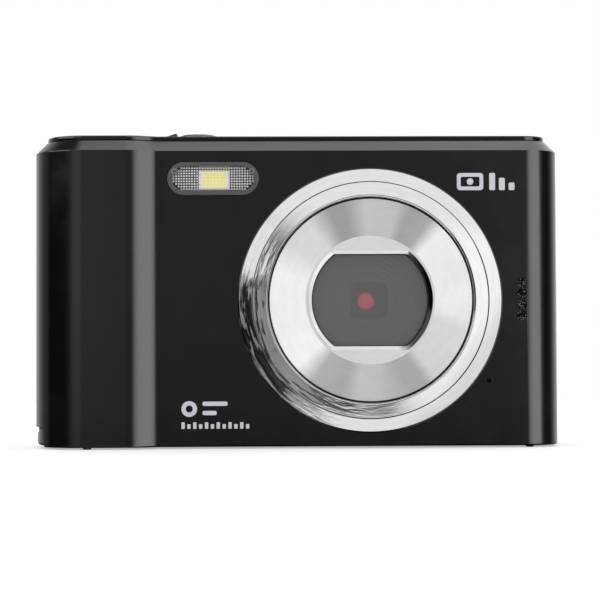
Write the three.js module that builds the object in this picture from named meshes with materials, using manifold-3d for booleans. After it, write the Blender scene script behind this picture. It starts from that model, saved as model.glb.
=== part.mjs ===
// A compact digital camera with a fixed lens behind a flat window.
// Millimetres, +Z up, the front faces -Y and the grip is on the -X side.
import * as THREE from "three";
import { mergeVertices } from "three/addons/utils/BufferGeometryUtils.js";
import Module from "manifold-3d";

const wasm = await Module();
wasm.setup();

// Body outline, seen from above
const HALF_WIDTH = 49;
const FRONT_Y = -6.8;
const GRIP_Y = -8.7;
const REAR_Y = 10.5;
const PART_Y = 2;
const GRIP_CORNER = 9.5;
const FRONT_CORNER = 6.5;
const REAR_CORNER = 4;
const GRIP_FLAT_END_X = -31.7;
const GRIP_SLOPE_TOP_X = -29.5;
const GRIP_SLOPE_X = -27.8;
const CREASE_X = -25.55;

// Body heights
const BASE_Z = 0.35;
const TOP_Z = 57.1;
const CHAMFER = 2.05;
const WALL = 1.6;
const LIP = 0.85;
const PLATE_TOP_Z = 58;
const PLATE_INSET = 2.25;

// Lens
const LENS_X = 13.45;
const LENS_Z = 27.25;
const RING_OUTER_R = 24.4;
const RING_STEP_R = 21.65;
const RING_INNER_R = 18.85;
const RING_FRONT_Y = -10.6;
const DISH_R = 11.9;
const DISH_Y = -8.9;
const WINDOW_R = 10.8;
const WINDOW_HALF_HEIGHT = 8.5;
const BEVEL = 0.7;
const PUPIL_SHIFT_X = -0.5;

// Flash, speaker and microphone
const FLASH_X = -15.45;
const FLASH_Z = 49.9;
const FLASH_LENGTH = 17;
const FLASH_HEIGHT = 6.2;
const SPEAKER_X = 41.6;
const SPEAKER_HOLES_Z = [24.4, 26.4, 28.5, 30.5];
const MIC_X = 35.4;
const MIC_Z = 12.35;

// Top controls
const BUTTON_Y = 1.9;
const SHUTTER_X = -18.45;
const SHUTTER_R = 3.65;
const POWER_X = -24.1;

// Back controls
const KEY_WALL_Y = 8.9;
const PAD_X = -30;
const PAD_Z = 26;
const PAD_R = 8.4;
const PAD_INNER_R = 3.9;
const OK_R = 3.4;
const ROUND_KEY_R = 2.4;
const ROUND_KEYS = {
  mode_key: [-39.5, 39.5],
  delete_key: [-20.5, 39.5],
  menu_key: [-39.5, 12],
  playback_key: [-20.5, 12],
};
const ROCKER_X = -30;
const ROCKER_Z = 47;
const ROCKER_PIVOT_Y = 8.2;

// Screen
const SCREEN = { x0: -10.5, x1: 43, z0: 7.6, z1: 50.6 };

// Battery, its door and the door's pin
const BATTERY = { x0: -43.7, x1: -12.2, y0: -3.9, y1: 2.1, z0: 3.4, z1: 43.4 };
const DOOR_X0 = -44.4;
const DOOR_X1 = -11.9;
const DOOR_TRAVEL = 2.8;
const DOOR_FRONT_Y = -4.9;
const PIN_Y = 7;
const PIN_Z = 1.5;
const PIN_R = 0.45;
const KNUCKLE_R = 1.05;
const KNUCKLE_GAP_X0 = -28.6;
const KNUCKLE_GAP_X1 = -24.2;

// Base
const BUSH_X = 8;
const BUSH_R = 4.5;
const THREAD_R = 2.55;
const FEET = [
  [-38.7, -7.2],
  [43.2, -4.6],
  [-38.7, 9.2],
  [43.2, 9.2],
];

// Port and strap lug
const PORT = { y0: 0.4, y1: 2.8, z0: 34, z1: 41.6 };
const LUG = { x1: -45.4, y0: -5, y1: 4.2, z1: 3.7 };

// Case screws: where each head sits and which way its shank runs
const SCREWS = {
  screw_base_left: { at: [-3, 5.5, BASE_Z], axis: "z", way: 1 },
  screw_base_right: { at: [36, 5.5, BASE_Z], axis: "z", way: 1 },
  screw_side_low: { at: [HALF_WIDTH, 5, 12.5], axis: "x", way: -1 },
  screw_side_high: { at: [HALF_WIDTH, 5, 46.5], axis: "x", way: -1 },
  screw_grip_side: { at: [-HALF_WIDTH, 5, 49], axis: "x", way: 1 },
};
const SCREW_HEAD_R = 1.4;
const SCREW_R = 0.7;
const SCREW_LENGTH = 4.2;

const FINISHES = {
  shell: { color: 0x1c1c1e, roughness: 0.42, metalness: 0.1 },
  plate: { color: 0x26262a, roughness: 0.35, metalness: 0.2 },
  chrome: { color: 0xd6d6d6, roughness: 0.25, metalness: 0.9 },
  satin: { color: 0xe2e2e0, roughness: 0.4, metalness: 0.7 },
  glass: { color: 0x585a5c, roughness: 0.08, metalness: 0 },
  black: { color: 0x101012, roughness: 0.6, metalness: 0 },
  coated: { color: 0xa55564, roughness: 0.1, metalness: 0 },
  button: { color: 0x9a9a9c, roughness: 0.35, metalness: 0.5 },
  key: { color: 0x2c2c30, roughness: 0.5, metalness: 0 },
  steel: { color: 0xb8babd, roughness: 0.3, metalness: 0.9 },
  brass: { color: 0xc9a45a, roughness: 0.35, metalness: 0.9 },
  board: { color: 0x1f5c3a, roughness: 0.6, metalness: 0 },
  chip: { color: 0x202022, roughness: 0.5, metalness: 0 },
  sensor: { color: 0x3a3550, roughness: 0.2, metalness: 0.2 },
  led: { color: 0xe6dc8c, roughness: 0.5, metalness: 0 },
  white: { color: 0xe8e8e4, roughness: 0.5, metalness: 0 },
  clear: { color: 0xc8ccd0, roughness: 0.15, metalness: 0 },
  screen: { color: 0x0c0d12, roughness: 0.2, metalness: 0 },
  battery: { color: 0x3c4046, roughness: 0.6, metalness: 0 },
  card: { color: 0x27406e, roughness: 0.6, metalness: 0 },
};

// A closed geometry as a solid, with its faces turned outwards.
function solidOf(geometry) {
  const bare = geometry.clone();
  bare.deleteAttribute("normal");
  bare.deleteAttribute("uv");
  const merged = mergeVertices(bare, 1e-4);
  const vertProperties = merged.attributes.position.array;
  const triVerts = new Uint32Array(merged.index.array);
  const solid = new wasm.Manifold(new wasm.Mesh({ numProp: 3, vertProperties, triVerts }));
  if (solid.volume() > 0) return solid;
  triVerts.reverse();
  return new wasm.Manifold(new wasm.Mesh({ numProp: 3, vertProperties, triVerts }));
}

function geometryOf(solid) {
  const mesh = solid.getMesh();
  const geometry = new THREE.BufferGeometry();
  geometry.setAttribute("position", new THREE.BufferAttribute(mesh.vertProperties.slice(), 3));
  geometry.setIndex(new THREE.BufferAttribute(mesh.triVerts.slice(), 1));
  geometry.computeVertexNormals();
  return geometry;
}

function block(x0, x1, y0, y1, z0, z1) {
  const geometry = new THREE.BoxGeometry(x1 - x0, y1 - y0, z1 - z0);
  geometry.translate((x0 + x1) / 2, (y0 + y1) / 2, (z0 + z1) / 2);
  return solidOf(geometry);
}

// A round bar along one axis, between two values on it, about a point on the other two.
function rod(axis, centre, radius, from, to, sides = 16) {
  const geometry = new THREE.CylinderGeometry(radius, radius, Math.abs(to - from), sides);
  geometry.translate(0, (from + to) / 2, 0);
  if (axis === "x") {
    geometry.rotateZ(-Math.PI / 2);
    geometry.translate(0, centre[0], centre[1]);
  } else if (axis === "y") {
    geometry.translate(centre[0], 0, centre[1]);
  } else {
    geometry.rotateX(Math.PI / 2);
    geometry.translate(centre[0], centre[1], 0);
  }
  return solidOf(geometry);
}

// A closed profile of [radius, y] pairs turned about the lens axis.
function turned(profile, sides = 48, x = LENS_X, z = LENS_Z) {
  const points = profile.concat([profile[0]]).map(([r, y]) => new THREE.Vector2(r, y));
  const geometry = new THREE.LatheGeometry(points, sides);
  geometry.translate(x, 0, z);
  return solidOf(geometry);
}

// A flat outline of [x, z] points given depth along Y.
function panel(shape, y0, y1, curveSegments = 5) {
  const geometry = new THREE.ExtrudeGeometry(shape, { depth: y1 - y0, bevelEnabled: false, curveSegments });
  geometry.rotateX(Math.PI / 2);
  geometry.translate(0, y1, 0);
  return solidOf(geometry);
}

// A slot outline with round ends, long along X.
function slotShape(x, z, length, height) {
  const r = height / 2;
  const shape = new THREE.Shape();
  shape.absarc(x + length / 2 - r, z, r, -Math.PI / 2, Math.PI / 2, false);
  shape.absarc(x - length / 2 + r, z, r, Math.PI / 2, Math.PI * 1.5, false);
  shape.closePath();
  return shape;
}

function roundedRect(x0, x1, z0, z1, r) {
  const shape = new THREE.Shape();
  shape.absarc(x1 - r, z0 + r, r, -Math.PI / 2, 0, false);
  shape.absarc(x1 - r, z1 - r, r, 0, Math.PI / 2, false);
  shape.absarc(x0 + r, z1 - r, r, Math.PI / 2, Math.PI, false);
  shape.absarc(x0 + r, z0 + r, r, Math.PI, Math.PI * 1.5, false);
  shape.closePath();
  return shape;
}

// The lens window's outline: a circle flattened at the top and bottom.
function windowShape(radius, halfHeight) {
  const reach = Math.asin(halfHeight / radius);
  const shape = new THREE.Shape();
  shape.absarc(LENS_X, LENS_Z, radius, -reach, reach, false);
  shape.absarc(LENS_X, LENS_Z, radius, Math.PI - reach, Math.PI + reach, false);
  shape.closePath();
  return shape;
}

// The body seen from above, counter-clockwise from the grip side.
function bodyOutline() {
  const shape = new THREE.Shape();
  shape.moveTo(-HALF_WIDTH, REAR_Y - REAR_CORNER);
  shape.lineTo(-HALF_WIDTH, GRIP_Y + GRIP_CORNER);
  shape.absarc(-HALF_WIDTH + GRIP_CORNER, GRIP_Y + GRIP_CORNER, GRIP_CORNER, Math.PI, Math.PI * 1.5, false);
  shape.lineTo(GRIP_FLAT_END_X, GRIP_Y);
  const steepness = (FRONT_Y - GRIP_Y) / (CREASE_X - GRIP_SLOPE_TOP_X);
  const slopeY = GRIP_Y + (GRIP_SLOPE_X - GRIP_SLOPE_TOP_X) * steepness;
  shape.quadraticCurveTo(GRIP_SLOPE_TOP_X, GRIP_Y, GRIP_SLOPE_X, slopeY);
  shape.lineTo(CREASE_X, FRONT_Y);
  shape.lineTo(HALF_WIDTH - FRONT_CORNER, FRONT_Y);
  shape.absarc(HALF_WIDTH - FRONT_CORNER, FRONT_Y + FRONT_CORNER, FRONT_CORNER, -Math.PI / 2, 0, false);
  shape.absarc(HALF_WIDTH - REAR_CORNER, REAR_Y - REAR_CORNER, REAR_CORNER, 0, Math.PI / 2, false);
  shape.absarc(-HALF_WIDTH + REAR_CORNER, REAR_Y - REAR_CORNER, REAR_CORNER, Math.PI / 2, Math.PI, false);
  const points = shape.getPoints(7);
  return points.filter((p, i) => p.distanceTo(points[(i + 1) % points.length]) > 1e-6);
}

const OUTLINE = bodyOutline();

// Each corner of the outline moved inwards so that every side keeps the same distance.
function insetOutline(distance) {
  return OUTLINE.map((point, i) => {
    const before = OUTLINE[(i + OUTLINE.length - 1) % OUTLINE.length];
    const after = OUTLINE[(i + 1) % OUTLINE.length];
    const arriving = point.clone().sub(before).normalize();
    const leaving = after.clone().sub(point).normalize();
    const inward = new THREE.Vector2(-arriving.y - leaving.y, arriving.x + leaving.x).normalize();
    const reach = distance / inward.dot(new THREE.Vector2(-arriving.y, arriving.x));
    return point.clone().addScaledVector(inward, reach);
  });
}

// A solid whose outline is inset by a given distance at each height.
function stack(levels) {
  const rings = levels.map(([z, inset]) => insetOutline(inset).map((p) => [p.x, p.y, z]));
  const size = OUTLINE.length;
  const faces = THREE.ShapeUtils.triangulateShape(OUTLINE, []);
  const last = (levels.length - 1) * size;
  const index = [];
  faces.forEach(([a, b, c]) => index.push(a, c, b, last + a, last + b, last + c));
  for (let level = 0; level < levels.length - 1; level += 1) {
    for (let i = 0; i < size; i += 1) {
      const a = level * size + i;
      const b = level * size + ((i + 1) % size);
      index.push(a, b, b + size, a, b + size, a + size);
    }
  }
  const geometry = new THREE.BufferGeometry();
  geometry.setAttribute("position", new THREE.Float32BufferAttribute(rings.flat(2), 3));
  geometry.setIndex(index);
  return solidOf(geometry);
}

// The body as a block, shrunk on every side, with the chamfer round its top edge.
function bodyBlock(shrink) {
  const side = shrink;
  const edge = CHAMFER + shrink * (Math.SQRT2 - 1);
  const chamferZ = TOP_Z - CHAMFER - shrink * (Math.SQRT2 - 1);
  return stack([
    [BASE_Z + shrink, side + 0.35],
    [BASE_Z + shrink + 0.35, side],
    [chamferZ, side],
    [TOP_Z - shrink, edge],
  ]);
}

const front = block(-60, 60, -20, PART_Y - 0.05, -5, 70);
const rear = block(-60, 60, PART_Y + 0.05, 20, -5, 70);

function screwHoles() {
  const cuts = Object.values(SCREWS).map(({ at, axis, way }) => {
    const [from, centre] = axis === "z" ? [at[2], [at[0], at[1]]] : [at[0], [at[1], at[2]]];
    const head = rod(axis, centre, SCREW_HEAD_R + 0.2, from - way, from + way * 0.9, 14);
    return head.add(rod(axis, centre, SCREW_R + 0.2, from, from + way * (SCREW_LENGTH + 0.8), 8));
  });
  return cuts.reduce((all, cut) => all.add(cut));
}

function buttonWells() {
  const shutterWell = rod("z", [SHUTTER_X, BUTTON_Y], SHUTTER_R + 0.2, 56.6, 59, 28);
  const shutterHole = rod("z", [SHUTTER_X, BUTTON_Y], 1.5, 50, 58, 12);
  const powerWell = block(POWER_X - 1.7, POWER_X + 1.9, BUTTON_Y - 2.7, BUTTON_Y + 2.7, 56.6, 59);
  const powerHole = rod("z", [POWER_X, BUTTON_Y], 1.2, 50, 58, 12);
  return shutterWell.add(shutterHole).add(powerWell).add(powerHole);
}

// Everything that is cut through both halves of the case.
function sharedCuts() {
  const doorway = block(DOOR_X0 - 0.2, DOOR_X1 + DOOR_TRAVEL + 0.2, DOOR_FRONT_Y - 0.2, 8.3, -1, 2);
  const lugNotch = block(-60, LUG.x1 + 0.2, LUG.y0 - 0.2, LUG.y1 + 0.2, -1, LUG.z1 + 0.3);
  const bushHole = rod("z", [BUSH_X, 0], BUSH_R + 0.15, -1, 2, 24);
  const port = block(46, 50, PORT.y0 - 0.15, PORT.y1 + 0.15, PORT.z0 - 0.15, PORT.z1 + 0.15);
  return doorway.add(lugNotch).add(bushHole).add(port).add(screwHoles()).add(buttonWells());
}

const feet = FEET.map(([x, y]) => rod("z", [x, y], 0.75, 0, 0.9, 10));

// Tongues inside the front half that the case screws bite into.
function screwTongues() {
  const overBase = [-3, 36].map((x) => block(x - 2.2, x + 2.2, 0.3, 7.4, 2.15, 5.6));
  const baseRoots = [-3, 36].map((x) => block(x - 2.2, x + 2.2, 0.3, 1.8, 1.8, 5.6));
  const side = [12.5, 46.5].map((z) => block(44.6, 47.2, 0.3, 7, z - 2.4, z + 2.4));
  const sideRoots = [12.5, 46.5].map((z) => block(44.6, 47.6, 0.3, 1.8, z - 2.4, z + 2.4));
  const grip = block(-47.2, -44.9, 0.3, 7, 46.6, 51.4);
  const gripRoot = block(-47.6, -44.9, 0.3, 1.8, 46.6, 51.4);
  return [...overBase, ...baseRoots, ...side, ...sideRoots, grip, gripRoot].reduce((all, one) => all.add(one));
}

// Floor above the strip of the doorway that the door slides into.
function slideFloor(y0, y1) {
  return block(DOOR_X1 + 0.8, DOOR_X1 + DOOR_TRAVEL + 1.4, y0, y1, 1.8, 2.8);
}

function frontShell() {
  const walls = bodyBlock(0).subtract(bodyBlock(WALL)).intersect(front);
  const lipSlice = block(-60, 60, PART_Y - 0.1, PART_Y + 1, -5, 70);
  const lip = bodyBlock(LIP).subtract(bodyBlock(WALL)).intersect(lipSlice);
  const lensHole = rod("y", [LENS_X, LENS_Z], 19.9, -12, -2, 48);
  const flashHole = panel(slotShape(FLASH_X, FLASH_Z, FLASH_LENGTH + 0.2, FLASH_HEIGHT + 0.2), -12, -2);
  let cuts = sharedCuts().add(lensHole).add(flashHole).add(rod("y", [MIC_X, MIC_Z], 0.35, -12, -4.5, 8));
  SPEAKER_HOLES_Z.forEach((z) => {
    cuts = cuts.add(rod("y", [SPEAKER_X, z], 0.85, -12, -4.5, 12));
  });
  return walls.add(lip).add(screwTongues()).add(slideFloor(DOOR_FRONT_Y - 0.3, PART_Y + 1))
    .add(feet[0]).add(feet[1]).subtract(cuts);
}

function keyHoles() {
  let cuts = rod("y", [PAD_X, PAD_Z], PAD_R + 0.2, KEY_WALL_Y - 0.5, 12, 36);
  Object.values(ROUND_KEYS).forEach((centre) => {
    cuts = cuts.add(rod("y", centre, ROUND_KEY_R + 0.2, KEY_WALL_Y - 0.5, 12, 18));
  });
  const rockerHole = panel(roundedRect(ROCKER_X - 7.3, ROCKER_X + 7.3, ROCKER_Z - 2.6, ROCKER_Z + 2.6, 2.3), 8, 12);
  return cuts.add(rockerHole);
}

// Bearings inside the back wall for the rocker's pin.
function rockerBearings() {
  const lugs = [-3.5, 3.5].map((dz) =>
    block(ROCKER_X - 1.3, ROCKER_X + 1.3, 7.1, 9, ROCKER_Z + dz - 0.55, ROCKER_Z + dz + 0.55));
  return lugs[0].add(lugs[1]).subtract(rod("z", [ROCKER_X, ROCKER_PIVOT_Y], 0.6, 40, 54, 12));
}

// Bosses that carry the two ends of the door's pin.
function pinBosses() {
  const inner = block(DOOR_X1 + DOOR_TRAVEL + 0.3, DOOR_X1 + DOOR_TRAVEL + 2.1, 5.6, 8.6, 1, 3.2);
  const outer = block(DOOR_X0 - 1.4, DOOR_X0 - 0.3, 5.6, 8.6, 1, 3.2);
  const bore = rod("x", [PIN_Y, PIN_Z], PIN_R + 0.15, DOOR_X0 - 1.2, DOOR_X1 + DOOR_TRAVEL + 1.8, 12);
  return inner.add(outer).subtract(bore);
}

function rearShell() {
  const walls = bodyBlock(0).subtract(bodyBlock(WALL)).intersect(rear);
  const lipRoom = bodyBlock(LIP - 0.1).intersect(block(-60, 60, PART_Y, PART_Y + 1.15, -5, 70));
  const screenHole = panel(roundedRect(SCREEN.x0 + 1, SCREEN.x1 - 1, SCREEN.z0 + 1, SCREEN.z1 - 1, 0.6), 8, 12);
  const screenSeat = panel(roundedRect(SCREEN.x0 - 1.6, SCREEN.x1 + 1.6, SCREEN.z0 - 1.6, SCREEN.z1 + 1.6, 1.6), 9.8, 12);
  const bore = rod("x", [PIN_Y, PIN_Z], PIN_R + 0.15, DOOR_X0 - 1.2, DOOR_X1 + DOOR_TRAVEL + 1.8, 12);
  const cuts = sharedCuts().add(lipRoom).add(screenHole).add(screenSeat).add(keyHoles());
  return walls.add(slideFloor(PART_Y + 1.15, 5.7)).subtract(cuts).add(rockerBearings())
    .add(feet[2]).add(feet[3]).subtract(bore).add(pinBosses());
}

function topPlate() {
  return stack([
    [TOP_Z + 0.1, PLATE_INSET],
    [PLATE_TOP_Z - 0.2, PLATE_INSET],
    [PLATE_TOP_Z, PLATE_INSET + 0.2],
  ]).subtract(buttonWells());
}

function lensRingOuter() {
  const y = FRONT_Y - 0.05;
  return turned([[RING_STEP_R + 0.1, y], [RING_OUTER_R, y], [RING_OUTER_R, -8.2], [RING_OUTER_R - 0.25, -8.45],
    [RING_STEP_R + 0.2, -9.5], [RING_STEP_R + 0.1, -9.4]]);
}

function lensRingInner() {
  return turned([[RING_INNER_R, -9.95], [20.1, RING_FRONT_Y], [21.45, -9.95], [RING_STEP_R - 0.05, -9.7],
    [RING_STEP_R - 0.05, FRONT_Y - 0.1], [19.75, FRONT_Y - 0.1], [19.75, -3.9], [RING_INNER_R, -3.9]]);
}

function lensDish() {
  return turned([[18.65, -10.1], [DISH_R, DISH_Y], [DISH_R, -7.9], [17.6, -8.9], [17.6, -4.2], [18.65, -4.2]]);
}

function windowBezel() {
  const disc = turned([[0, DISH_Y], [DISH_R - 0.15, DISH_Y], [DISH_R - 0.15, -5.6], [0, -5.6]]);
  const throat = panel(windowShape(WINDOW_R, WINDOW_HALF_HEIGHT), -9.5, -5, 10);
  const steps = [0.5, 1].map((share) => {
    const grown = BEVEL * share;
    return panel(windowShape(WINDOW_R + grown, WINDOW_HALF_HEIGHT + grown), -9.5, DISH_Y + 0.9 - 0.6 * share, 10);
  });
  return steps.reduce((solid, step) => solid.subtract(step), disc.subtract(throat));
}

function lensWindow() {
  return panel(windowShape(WINDOW_R - 0.1, WINDOW_HALF_HEIGHT - 0.1), -7.9, -7.1, 10);
}

function baffleCup() {
  const cup = turned([[0, -5.4], [11.2, -5.4], [11.2, -2.5], [0, -2.5]], 32);
  const steps = [[9.6, -4.8], [8.2, -4.2], [6.8, -3.6], [5.4, -3.1]];
  const hollow = steps.map(([r, y]) => rod("y", [LENS_X, LENS_Z], r, -6, y, 24));
  const opening = panel(roundedRect(LENS_X - 3.5, LENS_X + 3.5, LENS_Z - 3.5, LENS_Z + 3.5, 1), -6, -2);
  return hollow.reduce((solid, step) => solid.subtract(step), cup).subtract(opening);
}

const PUPIL_X = LENS_X + PUPIL_SHIFT_X;

function lensBarrel() {
  return turned([[1.6, -2.2], [4.6, -2.2], [4.6, 0], [2.7, 0], [2.7, -1.1], [1.6, -1.1]], 24, PUPIL_X);
}

function lensFrontElement() {
  return turned([[0, -2.15], [0.8, -2.05], [1.5, -1.8], [1.5, -1.2], [0, -1.2]], 20, PUPIL_X);
}

function lensRearElement() {
  return turned([[0, -1], [2.5, -0.8], [2.5, -0.3], [0, -0.3]], 20, PUPIL_X);
}

function lensHolder() {
  const plate = block(PUPIL_X - 6, PUPIL_X + 6, 0.1, 1.5, LENS_Z - 6, LENS_Z + 6);
  return plate.subtract(block(PUPIL_X - 3.7, PUPIL_X + 3.7, 0, 2, LENS_Z - 3.7, LENS_Z + 3.7));
}

function flashWindow() {
  const face = panel(slotShape(FLASH_X, FLASH_Z, FLASH_LENGTH, FLASH_HEIGHT), FRONT_Y - 0.05, -5.1);
  return face.add(panel(slotShape(FLASH_X, FLASH_Z, FLASH_LENGTH + 1.4, FLASH_HEIGHT + 1.4), -5.1, -4.5));
}

function flashReflector() {
  const tray = panel(slotShape(FLASH_X, FLASH_Z, 16, 5.4), -4.3, -2.2);
  return tray.subtract(panel(slotShape(FLASH_X, FLASH_Z, 14.3, 4.2), -5, -2.8));
}

function flashLed() {
  return block(FLASH_X - 1.8, FLASH_X + 2.2, -3.4, -2.8, FLASH_Z - 1.45, FLASH_Z + 1.25);
}

// A board with two press switches under the buttons on top.
function switchBoard() {
  const board = block(-28, -13.5, -0.6, 4.4, 51.6, 52.4);
  const shutterSwitch = block(SHUTTER_X - 1.5, SHUTTER_X + 1.5, BUTTON_Y - 1.5, BUTTON_Y + 1.5, 52.3, 54.1);
  return board.add(shutterSwitch).add(block(POWER_X - 1.5, POWER_X + 1.5, BUTTON_Y - 1.5, BUTTON_Y + 1.5, 52.3, 54.2));
}

function shutterButton() {
  const profile = [[0, 58.85], [2.4, 58.82], [3.2, 58.7], [SHUTTER_R, 58.35], [SHUTTER_R, 57.3],
    [1.2, 57.3], [1.2, 54.8], [0, 54.8]];
  const points = profile.concat([profile[0]]).map(([r, z]) => new THREE.Vector2(r, z));
  const geometry = new THREE.LatheGeometry(points, 28);
  geometry.rotateX(Math.PI / 2);
  geometry.translate(SHUTTER_X, BUTTON_Y, 0);
  return solidOf(geometry);
}

// A wedge that rises towards the shutter button.
function powerButton() {
  const shape = new THREE.Shape();
  shape.moveTo(POWER_X - 1.5, 57.3);
  shape.lineTo(POWER_X + 1.75, 57.3);
  shape.lineTo(POWER_X + 1.75, 58.85);
  shape.lineTo(POWER_X + 1.5, 59.05);
  shape.lineTo(POWER_X - 1.5, 58.1);
  shape.closePath();
  return panel(shape, BUTTON_Y - 2.5, BUTTON_Y + 2.5).add(rod("z", [POWER_X, BUTTON_Y], 0.9, 54.7, 57.4, 14));
}

function roundKey([x, z]) {
  return turned([[0, 7.6], [ROUND_KEY_R + 0.6, 7.6], [ROUND_KEY_R + 0.6, 8.7], [ROUND_KEY_R, 8.7],
    [ROUND_KEY_R, 10.9], [ROUND_KEY_R - 0.3, 11.2], [0, 11.2]], 18, x, z);
}

// One quarter of the direction pad, about the middle angle given.
function padKey(middle) {
  const ring = turned([[PAD_INNER_R, 7.6], [PAD_R + 0.6, 7.6], [PAD_R + 0.6, 8.7], [PAD_R, 8.7],
    [PAD_R, 10.8], [PAD_R - 0.4, 11.2], [PAD_INNER_R, 11]], 36, PAD_X, PAD_Z);
  const reach = 12;
  const half = Math.PI / 4;
  const wedge = new THREE.Shape();
  const start = 0.25;
  wedge.moveTo(PAD_X + start * Math.cos(middle), PAD_Z + start * Math.sin(middle));
  wedge.lineTo(PAD_X + reach * Math.cos(middle - half) + start * Math.cos(middle),
    PAD_Z + reach * Math.sin(middle - half) + start * Math.sin(middle));
  wedge.lineTo(PAD_X + reach * Math.cos(middle + half) + start * Math.cos(middle),
    PAD_Z + reach * Math.sin(middle + half) + start * Math.sin(middle));
  wedge.closePath();
  return ring.intersect(panel(wedge, 7, 12));
}

function okKey() {
  return turned([[0, 7.6], [OK_R, 7.6], [OK_R, 10.8], [OK_R - 0.3, 11.1], [0, 11.1]], 24, PAD_X, PAD_Z);
}

function zoomRocker() {
  const cap = panel(roundedRect(ROCKER_X - 7, ROCKER_X + 7, ROCKER_Z - 2.3, ROCKER_Z + 2.3, 2.1), 8.4, 11);
  const hub = block(ROCKER_X - 1, ROCKER_X + 1, 7.4, 8.6, ROCKER_Z - 2.3, ROCKER_Z + 2.3);
  const ridges = [-5.6, 5.6].map((dx) => rod("z", [ROCKER_X + dx, 10.9], 0.35, ROCKER_Z - 1.3, ROCKER_Z + 1.3, 8));
  const pinHole = rod("z", [ROCKER_X, ROCKER_PIVOT_Y], 0.6, 40, 54, 10);
  return cap.add(hub).add(ridges[0]).add(ridges[1]).subtract(pinHole);
}

function batteryBox() {
  const b = BATTERY;
  const outer = block(b.x0 - 0.9, b.x1 + 0.9, b.y0 - 0.9, b.y1 + 0.9, b.z0 - 0.8, b.z1 + 1.7);
  return outer.subtract(block(b.x0 - 0.2, b.x1 + 0.2, b.y0 - 0.2, b.y1 + 0.2, 0, b.z1 + 1));
}

function batteryContacts() {
  const z = BATTERY.z1;
  const bar = block(-22, -14, -1.6, -0.2, z + 0.55, z + 0.9);
  const fingers = [-21, -18, -15].map((x) => block(x - 0.6, x + 0.6, -1.6, -0.2, z + 0.15, z + 0.6));
  return fingers.reduce((all, finger) => all.add(finger), bar);
}

function batteryDoor() {
  const plate = block(DOOR_X0, DOOR_X1, DOOR_FRONT_Y, PIN_Y, PIN_Z - KNUCKLE_R, 1.8);
  const knuckle = rod("x", [PIN_Y, PIN_Z], KNUCKLE_R, DOOR_X0, DOOR_X1, 20);
  const gap = block(KNUCKLE_GAP_X0, KNUCKLE_GAP_X1, PIN_Y - 1.3, 9, 0, 3);
  const grooves = [-16.4, -15.2, -14].map((x) => block(x, x + 0.6, -2.6, 4.2, 0, 0.65));
  const solid = grooves.reduce((all, groove) => all.subtract(groove), plate.add(knuckle).subtract(gap));
  return solid.subtract(rod("x", [PIN_Y, PIN_Z], PIN_R + 0.15, -50, 0, 12));
}

function doorSlider() {
  const sleeve = rod("x", [PIN_Y, PIN_Z], KNUCKLE_R, KNUCKLE_GAP_X0 + 0.2, KNUCKLE_GAP_X1 - 0.2, 20);
  return sleeve.subtract(rod("x", [PIN_Y, PIN_Z], PIN_R + 0.15, -50, 0, 12));
}

function cardSocket() {
  const cage = block(-38.4, -13.6, 3.2, 5.75, 3.2, 37);
  return cage.subtract(block(-38.05, -13.95, 3.45, 5.5, 0, 36.6));
}

function memoryCard() {
  const card = block(-37.95, -14.05, 3.6, 5.4, 3.4, 35.4);
  const corner = new THREE.Shape();
  corner.moveTo(-38.2, 33);
  corner.lineTo(-38.2, 36);
  corner.lineTo(-35.2, 36);
  corner.closePath();
  return card.subtract(panel(corner, 3, 6));
}

// A threaded bush stands in the base, closed at its inner end.
function tripodBush() {
  const barrel = rod("z", [BUSH_X, 0], BUSH_R, 0.4, 7.2, 24);
  const flange = rod("z", [BUSH_X, 0], BUSH_R + 0.5, 2.1, 3.2, 24);
  return barrel.add(flange).subtract(rod("z", [BUSH_X, 0], THREAD_R, -1, 6.2, 20));
}

function lcdFrame() {
  const s = SCREEN;
  const tray = block(s.x0 - 0.7, s.x1 + 0.7, 4.9, 8.2, s.z0 - 0.7, s.z1 + 0.7);
  return tray.subtract(block(s.x0 - 0.1, s.x1 + 0.1, 5.5, 9, s.z0 - 0.1, s.z1 + 0.1));
}

function lcdPanel() {
  return block(SCREEN.x0, SCREEN.x1, 5.6, 8.4, SCREEN.z0, SCREEN.z1);
}

function lcdWindow() {
  const shape = roundedRect(SCREEN.x0 - 1.4, SCREEN.x1 + 1.4, SCREEN.z0 - 1.4, SCREEN.z1 + 1.4, 1.4);
  return panel(shape, 9.9, 10.6);
}

function usbPort() {
  const can = block(43.7, 48.7, PORT.y0, PORT.y1, PORT.z0, PORT.z1);
  const mouth = block(44.4, 50, PORT.y0 + 0.3, PORT.y1 - 0.3, PORT.z0 + 0.3, PORT.z1 - 0.3);
  return can.subtract(mouth).add(block(44.2, 47.8, 1.35, 1.85, PORT.z0 + 2, PORT.z1 - 2));
}

function strapLug() {
  const corner = bodyBlock(0.3).intersect(block(-60, LUG.x1, LUG.y0, LUG.y1, -1, LUG.z1));
  const cordRoom = block(-47.4, -46.2, LUG.y0 + 2.2, LUG.y1 - 1.4, -1, 5);
  const overBar = block(-60, -46.2, LUG.y0 + 2.2, LUG.y1 - 1.4, 2.9, 5);
  return corner.subtract(cordRoom).subtract(overBar);
}

function screw({ at, axis, way }) {
  const [from, centre] = axis === "z" ? [at[2], [at[0], at[1]]] : [at[0], [at[1], at[2]]];
  const head = rod(axis, centre, SCREW_HEAD_R, from + way * 0.1, from + way * 0.8, 12);
  const shank = rod(axis, centre, SCREW_R, from + way * 0.7, from + way * SCREW_LENGTH, 8);
  const slotDepth = [from - way, from + way * 0.45];
  const [low, high] = [Math.min(...slotDepth), Math.max(...slotDepth)];
  const slot = axis === "z"
    ? block(at[0] - 0.9, at[0] + 0.9, at[1] - 0.2, at[1] + 0.2, low, high)
    : block(low, high, at[1] - 0.2, at[1] + 0.2, at[2] - 0.9, at[2] + 0.9);
  return head.add(shank).subtract(slot);
}

const camera = new THREE.Group();

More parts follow.
